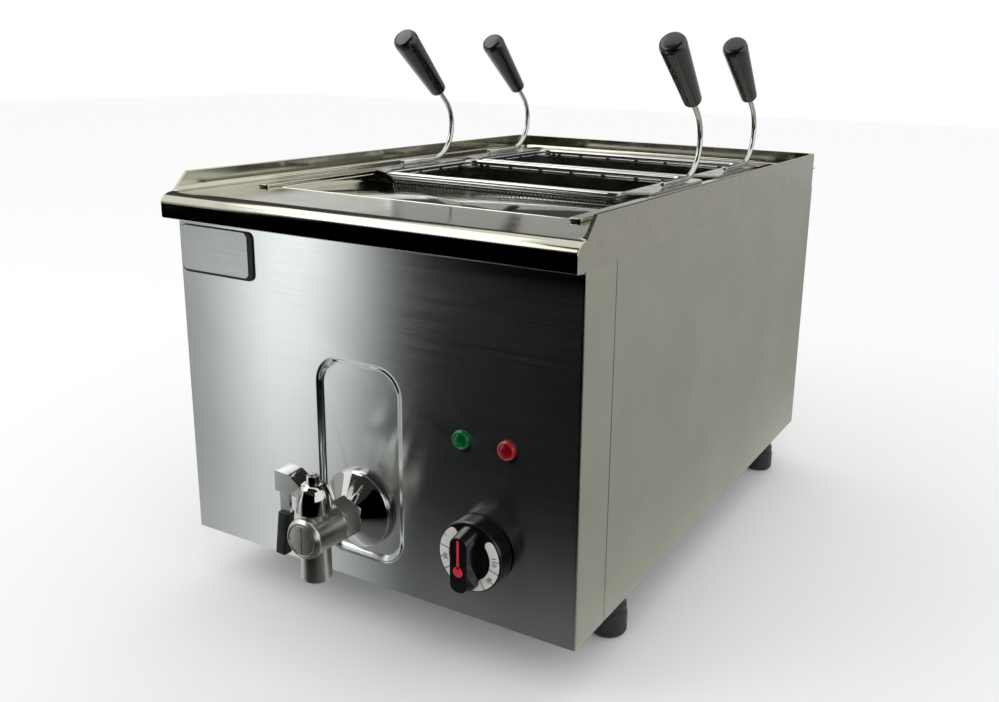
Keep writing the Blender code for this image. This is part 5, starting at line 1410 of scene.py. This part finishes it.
    def slot_shade_plates(self) -> None:
        """Lay thin black plates on the flanges where the narrow weld slots are, as painted shade; no slot
        is cut.
        """
        shape = Shape()
        for way in (-1, 1):
            for depth in self.slot_depths:
                slot = Shape()
                slot.raise_face(slot.plate(6.5, 1.3, 0.5, 2), 0.12)
                place = at(way * self.slot_x, self.front + depth, self.flange_top - 0.06)
                slot.move(Plane.PLAN.matrix(place))
                shape.add(slot)
        # Black plates for the slots' dark insides: painted shade.
        shape.piece(f"basket_{self.name}_weld_slot_painted_shade", POLYAMIDE, self.body)

    def handle(self, name: str, side: int) -> None:
        """Bend one wire from the flange up into its grip.

        Args:
            name: left or right.
            side: -1 or 1.
        """
        x = side * self.handle_x
        low = self.flange_top + 0.3 + self.wire
        start = self.front + self.wire_start
        end = self.front + self.wire_flat_end
        turn = math.radians(self.wire_turn)
        direction = Vector((0, math.cos(turn), math.sin(turn)))
        rod = BentRod(self.wire, at(x, start, low), (0, 1, 0))
        tip = list(rod.edges)
        rod.run((0, (end - start) * MM, 0))
        rod.turn(at(x, end, low + self.wire_bend), (1, 0, 0), self.wire_turn, 20)
        rod.run(direction * (self.wire_to_grip + 6) * MM)
        shape = rod.finish()
        shape.soften([e for e in tip if e.is_valid], 1.6, 4)
        wire = shape.piece(f"basket_{self.name}_wire_{name}_rod", BASKET_STEEL, self.body)
        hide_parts(f"basket_{self.name}_wire_{name}")
        curl = at(x, end + self.wire_bend * math.sin(turn), low + self.wire_bend * (1 - math.cos(turn)))
        self.grip(name, curl + direction * self.wire_to_grip * MM)

    def grip(self, name: str, base: Vector) -> None:
        """Turn one tapered grip and slide it on its wire.

        Args:
            name: left or right.
            base: where the grip starts on the wire.
        """
        shape = Shape()
        length, low, top = self.grip_length, self.grip_low, self.grip_top
        shape.profile(
            [
                (0, length),
                (top - 2.5, length - 0.7, 1.8),
                (top, length - 5.0, 2.6),
                (low + 0.3, 2.2, 1.0),
                (low - 1.6, 0, 0.5),
                (self.wire + 0.3, 0),
                (self.wire + 0.3, 8),
                (0, 8),
            ]
        )
        shape.lathe(40)
        tilt = Matrix.Rotation(math.radians(self.wire_turn - 90), 4, "X")
        shape.move(Matrix.Translation(base) @ tilt)
        piece = shape.piece(f"basket_{self.name}_grip_{name}_handle", PHENOLIC, self.body, 45)
        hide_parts(f"basket_{self.name}_grip_{name}")


@dataclass
class DrainTap:
    """Lever ball valve with its rosette."""

    x: float = -7.0
    height: float = 65.5
    stem_reach: float = 51.8
    copies: tuple[tuple[str, Finish, float], ...] = (
        ("tap_lever", CHROME, 0.7),
        ("tap_lever_tang", CHROME, 0.3),
        ("tap_lever_sleeve", POLYAMIDE, 0.8),
        ("tap_lever_nut", CHROME, 0.5),
        ("tap_stem", NICKEL, 0.2),
        ("tap_ball", CHROME, 0.0),
        ("tap_seat_front", SEAT_PTFE, 0.0),
        ("tap_seat_rear", SEAT_PTFE, 0.0),
    )

    def build(self) -> None:
        """Make rosette, body, front plug, hub, lever and sleeve."""
        self.rosette()
        self.valve_body()
        self.plug()
        for node, finish, edge in self.copies:
            refined_copy(node, finish, edge)

    def forward(self, shape: Shape) -> Shape:
        """Lay a shape along the tap's axis."""
        return out_of_panel(shape, self.x, self.height)

    def rosette(self) -> None:
        """Turn the deep conical rosette."""
        shape = Shape()
        shape.profile(
            [
                (14.5, 16.4, 0.6),
                (14.6, 14.6, 0.8),
                (31.2, 4.2, 1.0),
                (33.9, 2.4, 1.2),
                (33.9, -2.6),
                (32.4, -2.6),
                (32.4, 1.6),
                (13.1, 13.2),
                (13.1, 16.4),
            ],
            closed=True,
        )
        piece = self.forward(shape.lathe(72)).piece("tap_rosette_cone", CHROME, "cabinet", 30)
        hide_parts("tap_rosette")

    def valve_body(self) -> None:
        """Cast body: hexagon, barrel with front ring, stem boss and spout."""
        shape = Shape()
        hexagon = Shape()
        top = hexagon.raise_face(hexagon.disc(32 / math.sqrt(3), 6), 15.7)
        hexagon.soften(top.edges, 0.9, 2)
        hexagon.move(Matrix.Translation((0, 0, 16.8 * MM)))
        shape.add(self.forward(hexagon))
        barrel = Shape()
        barrel.profile(
            [
                (0, 67.3),
                (13.0, 67.3),
                (13.0, 67.85, 0.2),
                (14.2, 67.85, 0.5),
                (16.9, 64.6, 1.0),
                (16.9, 62.0, 0.6),
                (16.2, 61.6, 0.3),
                (16.2, 32.0),
                (0, 32.0),
            ]
        )
        shape.add(self.forward(barrel.lathe(64)))
        spout = Shape()
        spout.profile(
            [
                (0, self.height),
                (12.2, self.height),
                (12.2, 27.9, 0.8),
                (10.2, 25.9, 0.5),
                (8.5, 25.9, 0.4),
                (8.5, 50.0),
                (0, 50.0),
            ]
        )
        place = Matrix.Translation(at(self.x, -self.stem_reach, 0))
        shape.add(spout.lathe(48).move(place))
        boss = Shape()
        boss.profile([(0, 85.2), (10.0, 85.2, 0.5), (10.0, self.height), (0, self.height)])
        shape.add(boss.lathe(40).move(place))
        piece = shape.piece("tap_valve_body", NICKEL, "cabinet", 35)
        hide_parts("tap_body")

    def plug(self) -> None:
        """Disc that closes the barrel's front, with a thin dark plate on it as painted shade for its slot.
        """
        shape = Shape()
        shape.profile([(0, 67.6), (12.2, 67.6, 0.5), (12.6, 66.0), (0, 66.0)])
        piece = self.forward(shape.lathe(56)).piece("tap_plug_disc", NICKEL, "cabinet")
        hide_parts("tap_front_plug")
        # The slot is a raised dark plate, painted shade, not a cut in the disc.
        slot = Shape()
        slot.raise_face(slot.plate(0.9, 24.0, 0.2, 1), 0.08)
        slot.move(Matrix.Translation((0, 0, 67.56 * MM)))
        self.forward(slot).piece("tap_plug_slot_painted_shade", SHEATH, "cabinet")


@dataclass
class Knob:
    """Thermostat knob: dial, grip bar, printed scale and pointer."""

    x: float = 115.7
    height: float = 62.5
    radius: float = 28.9
    reach: float = 17.1
    bar_reach: float = 32.5
    bar_width: float = 18.0
    bar_length: float = 53.0
    bar_corner: float = 8.0
    bar_taper: float = 0.86
    scale_inner: float = 18.7
    scale_outer: float = 27.2
    scale_start: float = 36.0
    scale_end: float = -229.0
    first_mark: float = 6.0
    mark_step: float = 43.5
    numbers: tuple[str, ...] = ("110", "90", "70", "50", "30")
    text_size: float = 5.4
    text_swell: float = 0.09
    mark_width: float = 0.75
    print_lift: float = 0.06
    ink_lift: float = 0.10
    pointer_width: float = 2.2
    pointer_length: float = 24.0
    pointer_middle: float = 9.0
    pointer_bulb: float = 4.3
    pointer_bulb_place: float = -5.0

    def build(self) -> None:
        """Make the knob and its print."""
        self.dial()
        self.scale()
        self.marks()
        self.print_numbers()
        self.pointer()

    def forward(self, shape: Shape) -> Shape:
        """Lay a shape along the knob's axis."""
        return out_of_panel(shape, self.x, self.height)

    def dial(self) -> None:
        """Turn the dial and stand the grip bar on it."""
        shape = Shape()
        shape.profile(
            [
                (0, self.reach),
                (self.radius - 0.4, self.reach, 0.9),
                (self.radius, self.reach - 2, 0.6),
                (self.radius, 1.6, 0.4),
                (self.radius - 2.5, 1.6),
                (self.radius - 2.5, self.reach - 2.5),
                (8, self.reach - 2.5),
                (8, 1.6),
                (3.3, 1.6),
                (3.3, 12.8),
                (0, 12.8),
            ]
        )
        shape.lathe(72)
        bar = Shape()
        face = bar.plate(self.bar_width, self.bar_length, self.bar_corner, 8)
        top = bar.raise_face(face, self.bar_reach - self.reach + 1)
        taper = (self.bar_taper, self.bar_taper, 1)
        bmesh.ops.scale(bar.bm, vec=taper, verts=list(top.verts), space=Matrix.Identity(4))
        bar.soften(top.edges, 0.9, 3)
        bar.move(Matrix.Translation((0, 0, (self.reach - 1) * MM)))
        shape.add(bar)
        piece = self.forward(shape).piece("knob_dial", PHENOLIC, "knob", 35)
        even_shading(piece)
        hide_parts("knob")

    def scale(self) -> None:
        """Print the pale band of the scale with its two round ends."""
        shape = Shape()
        start = math.radians(self.scale_start)
        sweep = self.scale_end - self.scale_start
        way = Vector((math.cos(start), math.sin(start), 0))
        middle = (self.scale_inner + self.scale_outer) / 2
        half = (self.scale_outer - self.scale_inner) / 2
        edge = shape.line([way * self.scale_inner * MM, way * self.scale_outer * MM])
        shape.bend(edge, (0, 0, 0), (0, 0, 1), sweep, 80)
        for degrees, half_turn in ((self.scale_start, 180), (self.scale_end, -180)):
            angle = math.radians(degrees)
            way = Vector((math.cos(angle), math.sin(angle), 0))
            centre = way * middle * MM
            edge = shape.line([centre, centre + way * half * MM])
            shape.bend(edge, centre, (0, 0, 1), half_turn, 14)
        bmesh.ops.remove_doubles(shape.bm, verts=shape.bm.verts[:], dist=0.002 * MM)
        self.print_flat(shape, "knob_scale_print", WHITE_INK, self.reach + self.print_lift)

    def print_flat(self, shape: Shape, name: str, ink: Finish, reach: float) -> None:
        """Lay a flat print on the knob.

        Args:
            shape: the print in x and y.
            name: the piece's name.
            ink: its ink.
            reach: how far in front of the panel it lies, in mm.
        """
        shape.bm.normal_update()
        for face in shape.bm.faces:
            if face.normal.z < 0:
                face.normal_flip()
        shape.move(Matrix.Translation((0, 0, reach * MM)))
        self.forward(shape).piece(name, ink, "knob")

    def marks(self) -> None:
        """Print a short outer mark at each number and a full mark between them."""
        shape = Shape()
        for index in range(6):
            angle = self.first_mark - index * self.mark_step
            self.mark(shape, angle, self.scale_outer - 2.4, self.scale_outer + 0.3)
            self.mark(shape, angle - self.mark_step / 2, self.scale_inner - 0.3, self.scale_outer + 0.3)
        self.print_flat(shape, "knob_scale_marks", BLACK_INK, self.reach + self.ink_lift)

    def mark(self, shape: Shape, degrees: float, inner: float, outer: float) -> None:
        """Draw one radial mark.

        Args:
            shape: the shape of all marks.
            degrees: where it is on the dial.
            inner: its inner radius, in mm.
            outer: its outer radius, in mm.
        """
        if degrees < self.scale_end:
            return
        mark = Shape()
        mark.plate(outer - inner, self.mark_width, 0.0)
        mark.move(Matrix.Translation(((inner + outer) / 2 * MM, 0, 0)))
        shape.add(mark.move(Matrix.Rotation(math.radians(degrees), 4, "Z")))

    def print_numbers(self) -> None:
        """Print the dial's plain numbers, with their tops outwards."""
        shape = Shape()
        for index, number in enumerate(self.numbers):
            degrees = self.first_mark - index * self.mark_step
            text = bpy.data.curves.new(f"number_{number}", "FONT")
            text.body = number
            text.size = self.text_size * MM
            text.align_x = "CENTER"
            text.align_y = "CENTER"
            text.offset = self.text_swell * MM
            holder = bpy.data.objects.new(f"number_{number}", text)
            bpy.context.scene.collection.objects.link(holder)
            mesh = bpy.data.meshes.new_from_object(
                holder.evaluated_get(bpy.context.evaluated_depsgraph_get())
            )
            bpy.data.objects.remove(holder)
            drawn = Shape()
            drawn.bm.from_mesh(mesh)
            drawn.bm.faces.ensure_lookup_table()
            radius = (self.scale_inner + self.scale_outer) / 2 - 0.5
            turn = Matrix.Rotation(math.radians(degrees), 4, "Z")
            stand = Matrix.Translation((radius * MM, 0, 0)) @ Matrix.Rotation(math.radians(-90), 4, "Z")
            shape.add(drawn.move(turn @ stand))
        self.print_flat(shape, "knob_scale_numbers", BLACK_INK, self.reach + self.ink_lift)

    def pointer(self) -> None:
        """Print the red thermometer mark on the bar."""
        shape = Shape()
        line = Shape()
        line.plate(self.pointer_width, self.pointer_length, 1.0, 4)
        shape.add(line.move(Matrix.Translation((0, self.pointer_middle * MM, 0))))
        shape.disc(self.pointer_bulb, 28, (0, self.pointer_bulb_place))
        self.print_flat(shape, "knob_pointer_print", RED_INK, self.bar_reach + self.print_lift)


@dataclass
class PilotLamp:
    """One unlit pilot lamp: rim and domed lens."""

    colour: str
    x: float
    lens: Finish
    # the rim's finish is the lighter copy of the lens plastic: painted light
    rim: Finish
    height: float = 149.0
    radius: float = 7.7

    def build(self) -> None:
        """Turn the rim and the lens."""
        shape = Shape()
        outer = [(5.9, -24), (5.9, 0.1), (self.radius, 0.1), (self.radius, 2.0, 0.9), (6.2, 3.0, 0.4)]
        shape.profile(outer + [(5.7, 2.2), (5.0, 2.2), (5.0, -24)], closed=True)
        place = Plane.FACE.matrix(at(self.x, 0, self.height))
        # The rim takes the lighter copy of the lens plastic, a painted light.
        rim = shape.lathe(40).move(place).piece(f"lamp_{self.colour}_rim", self.rim, "cabinet", 40)
        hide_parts(f"lamp_{self.colour}_lens")
        lens = Shape()
        lens.profile([(0, 3.1), (3.4, 2.9, 0.8), (5.6, 2.2), (5.6, 1.0), (0, 1.0)])
        lens.lathe(40).move(place).piece(f"lamp_{self.colour}_dome", self.lens, "cabinet", 40)
        refined_copy(f"lamp_{self.colour}_body", GREY_PLASTIC, 0.2)


@dataclass
class Nameplate:
    """Bare plate on a black backing at the panel's upper left."""

    left: float = -195.5
    right: float = -111.5
    low: float = 245.5
    high: float = 287.5
    thickness: float = 1.5
    corner: float = 6.0
    border: float = 2.2
    border_right: float = 5.0

    def build(self) -> None:
        """Make the backing and the face."""
        back = (self.left, self.right, self.low, self.high)
        self.plate(
            "nameplate_backing", back, self.corner, 0.05, self.thickness, POLYAMIDE, "nameplate_base"
        )
        face = (self.left + 0.6, self.right - self.border_right, self.low + self.border, self.high - 0.8)
        lift = self.thickness + 0.02
        self.plate(
            "nameplate_bare_face", face, self.corner - 1, lift, 0.55, PLATE_ALUMINIUM, "nameplate_face"
        )

    def plate(
        self,
        name: str,
        box: tuple[float, float, float, float],
        corner: float,
        back: float,
        thickness: float,
        finish: Finish,
        node: str,
    ) -> None:
        """Make one rounded plate on the panel.

        Args:
            name: the piece's name.
            box: left, right, low and high, in mm.
            corner: corner radius, in mm.
            back: gap behind it, in mm.
            thickness: its thickness, in mm.
            finish: what it is made of.
            node: the CAD node it stands for.
        """
        left, right, low, high = box
        shape = Shape()
        top = shape.raise_face(shape.plate(right - left, high - low, corner, 8), thickness)
        shape.soften(top.edges, 0.25, 2)
        shape.move(Plane.FACE.matrix(at((left + right) / 2, -back, (low + high) / 2)))
        piece = shape.piece(name, finish, "cabinet")
        even_shading(piece)
        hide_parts(node)


@dataclass
class Foot:
    """One levelling foot: sleeve on the cabinet and screw pad."""

    name: str
    x: float
    depth: float
    neck: float = 14.0
    collar: float = 15.4
    bore: float = 6.0
    screw: float = 5.0
    pad_shoulder: float = 15.2
    pad_edge: float = 16.3
    sole: float = 13.8
    gap: float = 0.3

    def heights(self, node: str) -> list[float]:
        """Give a CAD node's lowest and highest height over the body's underside, in mm."""
        return [(corner.z - BASE_Z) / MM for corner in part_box(node)]

    def build(self) -> None:
        """Turn the sleeve and the pad."""
        node = f"foot_{self.name}_sleeve"
        bottom, top = self.heights(node)
        pad_top = bottom - self.gap
        place = Matrix.Translation(at(self.x, self.depth, 0))
        sleeve = Shape()
        sleeve.profile(
            [
                (0, top),
                (self.neck, top),
                (self.neck, bottom + 6, 0.3),
                (self.collar, bottom + 5, 0.6),
                (self.collar, bottom + 0.1, 0.6),
                (self.bore, bottom + 0.1),
                (self.bore, bottom + 20),
                (0, bottom + 20),
            ]
        )
        piece = sleeve.lathe(48).move(place).piece(
            f"foot_{self.name}_sleeve_turned", POLYAMIDE, "cabinet", 40
        )
        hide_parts(node)
        node = f"foot_{self.name}_pad"
        bottom, top = self.heights(node)
        pad = Shape()
        pad.profile(
            [
                (0, top),
                (self.screw, top, 0.5),
                (self.screw, pad_top),
                (self.pad_shoulder, pad_top, 0.6),
                (self.pad_edge, pad_top - 3, 0.8),
                (self.pad_edge, bottom + 2.6, 0.8),
                (self.sole, bottom, 0.6),
                (0, bottom),
            ]
        )
        piece = pad.lathe(48).move(place).piece(
            f"foot_{self.name}_pad_turned", POLYAMIDE, f"foot_{self.name}_pad", 40
        )
        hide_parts(node)


def light_material(name: str, colour: Point, level: float) -> tuple[bpy.types.Material, bpy.types.Node]:
    """Give a material that only shines.

    Args:
        name: the material's name.
        colour: linear red, green, blue and alpha.
        level: how brightly it shines.

    Returns:
        The material and its shining node.
    """
    material = bpy.data.materials.new(name)
    material.use_nodes = True
    tree = material.node_tree
    tree.nodes.clear()
    shine = add_node(tree, "ShaderNodeEmission", inputs={"Color": colour, "Strength": level})
    add_node(tree, "ShaderNodeOutputMaterial", links={"Surface": shine.outputs["Emission"]})
    return material, shine


@dataclass(frozen=True)
class StudioCard:
    """A large card or light that only reflections see."""

    name: str
    centre: Point
    across: Point
    up: Point
    level: float


@dataclass
class GradientBoard:
    """A board that lies on the floor in front of the cooker and then stands up, seen in its front.

    The pivot is the main camera's place mirrored in the front panel, as fixed numbers, mirror_gap
    behind the panel. So the places in the ramps are mm on the panel as that camera sees it. The wash
    and the glow run from left to right and end in black. The rise dims the glow low down, and the
    foot adds a little light there.
    """

    pivot: Point = (0.4972, 0.3221, 0.4830)
    mirror_gap: float = 0.5866
    width: float = 400.0
    rise: float = 300.0
    wash: tuple[tuple[float, float], ...] = ((-200, 0.25), (-100, 0.5), (60, 0.0))
    glow: tuple[tuple[float, float], ...] = ((-200, 0.0), (-60, 0.7), (50, 0.0))
    glow_rise: tuple[tuple[float, float], ...] = ((0, 0.0), (300, 1.0))
    foot: tuple[tuple[float, float], ...] = ((0, 0.1), (100, 0.0))
    near_edge: float = -0.275
    half_width: float = 3.2
    clearance: float = 0.006
    run: float = 2.9
    upright: float = 1.3

    def ramp(
        self,
        tree: bpy.types.NodeTree,
        value: bpy.types.NodeSocket,
        stops: tuple[tuple[float, float], ...],
        start: float,
        end: float,
    ) -> bpy.types.NodeSocket:
        """Give a level that follows a place between two ends.

        Args:
            tree: the node tree.
            value: the place, in metres.
            stops: places in mm and their levels.
            start: the place at the ramp's low end, in mm.
            end: the place at its high end, in mm.

        Returns:
            The level.
        """
        share = add_node(
            tree,
            "ShaderNodeMapRange",
            inputs={"From Min": start * MM, "From Max": end * MM},
            links={"Value": value},
        )
        ramp = add_node(tree, "ShaderNodeValToRGB", links={"Fac": share.outputs["Result"]})
        ramp.color_ramp.interpolation = "EASE"
        elements = ramp.color_ramp.elements
        while len(elements) < len(stops):
            elements.new(0.5)
        for element, (place, level) in zip(elements, stops):
            element.position = (place - start) / (end - start)
            element.color = (level, level, level, 1)
        return ramp.outputs["Color"]

    def material(self) -> bpy.types.Material:
        """Build the board's graded light."""
        material, shine = light_material("board_graded_light", (0.97, 1.0, 1.0, 1), 1.0)
        tree = material.node_tree
        place = add_node(tree, "ShaderNodeNewGeometry")
        parts = add_node(tree, "ShaderNodeSeparateXYZ", links={"Vector": place.outputs["Position"]})
        away = self.math(tree, "SUBTRACT", self.pivot[1], parts.outputs["Y"])
        near = self.math(tree, "DIVIDE", self.mirror_gap, away)
        aside = self.math(tree, "SUBTRACT", parts.outputs["X"], self.pivot[0])
        above = self.math(tree, "SUBTRACT", parts.outputs["Z"], self.pivot[2])
        across = self.math(tree, "MULTIPLY_ADD", aside, near, self.pivot[0])
        height = self.math(tree, "MULTIPLY_ADD", above, near, self.pivot[2] - BASE_Z)
        half = self.width / 2
        glow = self.ramp(tree, across, self.glow, -half, half)
        glow = self.math(tree, "MULTIPLY", glow, self.ramp(tree, height, self.glow_rise, 0, self.rise))
        lit = self.math(tree, "ADD", glow, self.ramp(tree, across, self.wash, -half, half))
        lit = self.math(tree, "ADD", lit, self.ramp(tree, height, self.foot, 0, self.rise))
        tree.links.new(lit, shine.inputs["Strength"])
        return material

    def math(self, tree: bpy.types.NodeTree, operation: str, *values: object) -> bpy.types.NodeSocket:
        """Add a sum of numbers and sockets.

        Args:
            tree: the node tree.
            operation: what to do.
            values: numbers, or sockets that give them.

        Returns:
            The result.
        """
        node = add_node(tree, "ShaderNodeMath", settings={"operation": operation})
        for index, value in enumerate(values):
            if isinstance(value, bpy.types.NodeSocket):
                tree.links.new(value, node.inputs[index])
            else:
                node.inputs[index].default_value = value
        return node.outputs["Value"]

    def shape(self) -> Shape:
        """Draw the board: flat on the floor in front, then upright."""
        shape = Shape()
        edge = shape.line([(side * self.half_width, self.near_edge, self.clearance) for side in (-1, 1)])
        edge = shape.sweep(edge, (0, -self.run, 0))
        shape.sweep(edge, (0, 0, self.upright))
        return shape


@dataclass
class Studio:
    """Pale floor, plain soft light, reflection cards and the camera."""

    cards: tuple[StudioCard, ...] = (
        StudioCard("left_high_softbox", (-1.45, -0.35, 2.25), (0, 0.95, 0), (0.36, 0, 0.27), 2.0),
        StudioCard("front_flag", (0.30, -3.20, 2.30), (3.50, 0, 0), (0, 0, 1.00), 0.03),
        StudioCard("front_ceiling_flag", (0.90, -1.90, 3.20), (2.90, 0, 0), (0, 1.20, 0), 0.02),
        StudioCard("left_wall", (-3.20, -1.60, 0.60), (0, 1.6, 0), (0, 0, 0.6), 0.40),
        StudioCard("left_back_low", (-2.90, 1.70, 0.55), (0, 1.7, 0), (0, 0, 0.55), 0.72),
        StudioCard("left_back_high", (-2.80, 1.80, 2.20), (0, 1.6, 0), (0, 0, 1.1), 0.06),
        StudioCard("back_low", (-0.80, 3.50, 0.45), (2.1, 0, 0), (0, 0, 0.45), 0.72),
        StudioCard("back_middle", (-0.80, 3.45, 1.20), (2.1, 0, 0), (0, 0, 0.30), 0.35),
        StudioCard("back_high", (-0.80, 3.40, 2.40), (2.1, 0, 0), (0, 0, 0.90), 0.06),
        StudioCard("right_floor", (1.60, 1.50, 0.003), (1.35, 0, 0), (0, 2.0, 0), 0.42),
        StudioCard("right_back_wall", (1.80, 3.40, 0.90), (1.4, 0, 0), (0, 0, 0.9), 0.45),
    )
    camera_place: Point = (0.4972, -0.8511, 0.4830)
    azimuth: float = 28.8154
    elevation: float = 14.5183
    roll: float = 1.3098
    lens: float = 35.6
    shift: tuple[float, float] = (-0.0536, -0.0384)
    lamp_place: Point = (-1.2, -1.5, 1.8)
    lamp_aim: Point = (0, 0, 0.2)
    lamp_width: float = 1.2
    lamp_power: float = 6

    def build(self) -> None:
        """Set up everything that isn't the object."""
        self.floor()
        self.world()
        self.lamp()
        for card in self.cards:
            self.card(card)
        self.board(GradientBoard())
        self.camera()
        bpy.context.scene.view_settings.view_transform = "Standard"

    def plain_material(self, name: str, colour: str) -> bpy.types.Material:
        """Give a plain matt paint for the stage.

        Args:
            name: the material's name.
            colour: its sRGB hex colour.

        Returns:
            The material.
        """
        material = bpy.data.materials.new(name)
        material.use_nodes = True
        shader = material.node_tree.nodes["Principled BSDF"]
        shader.inputs["Base Color"].default_value = srgb(colour)
        shader.inputs["Roughness"].default_value = 0.9
        shader.inputs["Specular IOR Level"].default_value = 0.0
        return material

    def stage_object(self, name: str, shape: Shape, material: bpy.types.Material) -> bpy.types.Object:
        """Make a mesh that belongs to the stage.

        Args:
            name: the object's name.
            shape: its mesh.
            material: its material.

        Returns:
            The object.
        """
        mesh = bpy.data.meshes.new(name)
        shape.bm.to_mesh(mesh)
        shape.bm.free()
        mesh.materials.append(material)
        obj = bpy.data.objects.new(name, mesh)
        bpy.context.scene.collection.objects.link(obj)
        return obj

    def floor(self) -> None:
        """Lay the pale floor."""
        shape = Shape()
        shape.plate(16000, 16000, 0)
        self.stage_object("floor", shape, self.plain_material("floor_matt_white_paint", "fafafa"))

    def world(self) -> None:
        """Surround the scene with plain white."""
        world = bpy.data.worlds.new("studio_white")
        world.use_nodes = True
        world.node_tree.nodes["Background"].inputs["Color"].default_value = (1, 1, 1, 1)
        world.node_tree.nodes["Background"].inputs["Strength"].default_value = 1.0
        bpy.context.scene.world = world

    def lamp(self) -> None:
        """Hang one soft lamp at the upper left, in front."""
        light = bpy.data.lights.new("soft_key", "AREA")
        light.shape = "DISK"
        light.size = self.lamp_width
        light.energy = self.lamp_power
        lamp = bpy.data.objects.new("soft_key", light)
        bpy.context.scene.collection.objects.link(lamp)
        place = Vector(self.lamp_place)
        lamp.location = place
        lamp.rotation_euler = (Vector(self.lamp_aim) - place).to_track_quat("-Z", "Y").to_euler()

    def card(self, card: StudioCard) -> None:
        """Stand one card that only mirror rays see.

        Args:
            card: its place, size and level.
        """
        shape = Shape()
        centre, across, up = Vector(card.centre), Vector(card.across), Vector(card.up)
        corners = [centre - across - up, centre + across - up, centre + across + up, centre - across + up]
        edges = shape.line(corners, closed=True)
        shape.bm.faces.new([e.verts[0] for e in edges])
        material = light_material(card.name, (1, 1, 1, 1), card.level)[0]
        self.mirror_only(self.stage_object(card.name, shape, material))

    def mirror_only(self, obj: bpy.types.Object) -> None:
        """Let only mirror rays see a stage object."""
        obj.visible_camera = False
        obj.visible_diffuse = False
        obj.visible_shadow = False
        obj.visible_transmission = False

    def board(self, board: GradientBoard) -> None:
        """Set up the graded board, whose light the nose of the frame doesn't take.

        Args:
            board: the board.
        """
        obj = self.stage_object("front_board", board.shape(), board.material())
        self.mirror_only(obj)
        takers = bpy.data.collections.new("board_takers")
        takers.objects.link(bpy.data.objects["frame_deck_and_nose"])
        obj.light_linking.receiver_collection = takers
        takers.collection_objects[0].light_linking.link_state = "EXCLUDE"

    def camera(self) -> None:
        """Stand the camera where the photograph was taken from."""
        azimuth, elevation = math.radians(self.azimuth), math.radians(self.elevation)
        roll = math.radians(self.roll)
        ahead = Vector(
            (
                -math.sin(azimuth) * math.cos(elevation),
                math.cos(azimuth) * math.cos(elevation),
                -math.sin(elevation),
            )
        )
        level = ahead.cross(Vector((0, 0, 1))).normalized()
        above = level.cross(ahead)
        right = math.cos(roll) * level + math.sin(roll) * above
        up = -math.sin(roll) * level + math.cos(roll) * above
        data = bpy.data.cameras.new("camera")
        data.lens = self.lens
        data.sensor_width = 36
        data.shift_x, data.shift_y = self.shift
        data.clip_start = 0.01
        camera = bpy.data.objects.new("camera", data)
        bpy.context.scene.collection.objects.link(camera)
        place = Matrix((right, up, -ahead)).transposed().to_4x4()
        place.translation = Vector(self.camera_place)
        camera.matrix_world = place
        bpy.context.scene.camera = camera


def main() -> None:
    """Build every sub-assembly in order, then the studio."""
    logging.basicConfig(level=logging.INFO, format="%(name)s %(message)s")
    assemblies = [
        Cabinet(),
        TopFrame(),
        Well(),
        Basket("front", 195.0),
        Basket("rear", 362.0),
        DrainTap(),
        Knob(),
        PilotLamp("green", 97.0, GREEN_LENS, GREEN_RIM_PAINTED_LIGHT),
        PilotLamp("red", 138.0, RED_LENS, RED_RIM_PAINTED_LIGHT),
        Nameplate(),
        Foot("front_left", -175.2, 111.4),
        Foot("front_right", 175.2, 111.4),
        Foot("rear_left", -175.2, 530.7),
        Foot("rear_right", 175.2, 530.7),
        Studio(),
    ]
    for assembly in assemblies:
        LOG.info("building %s", type(assembly).__name__)
        assembly.build()


if __name__ == "__main__":
    main()
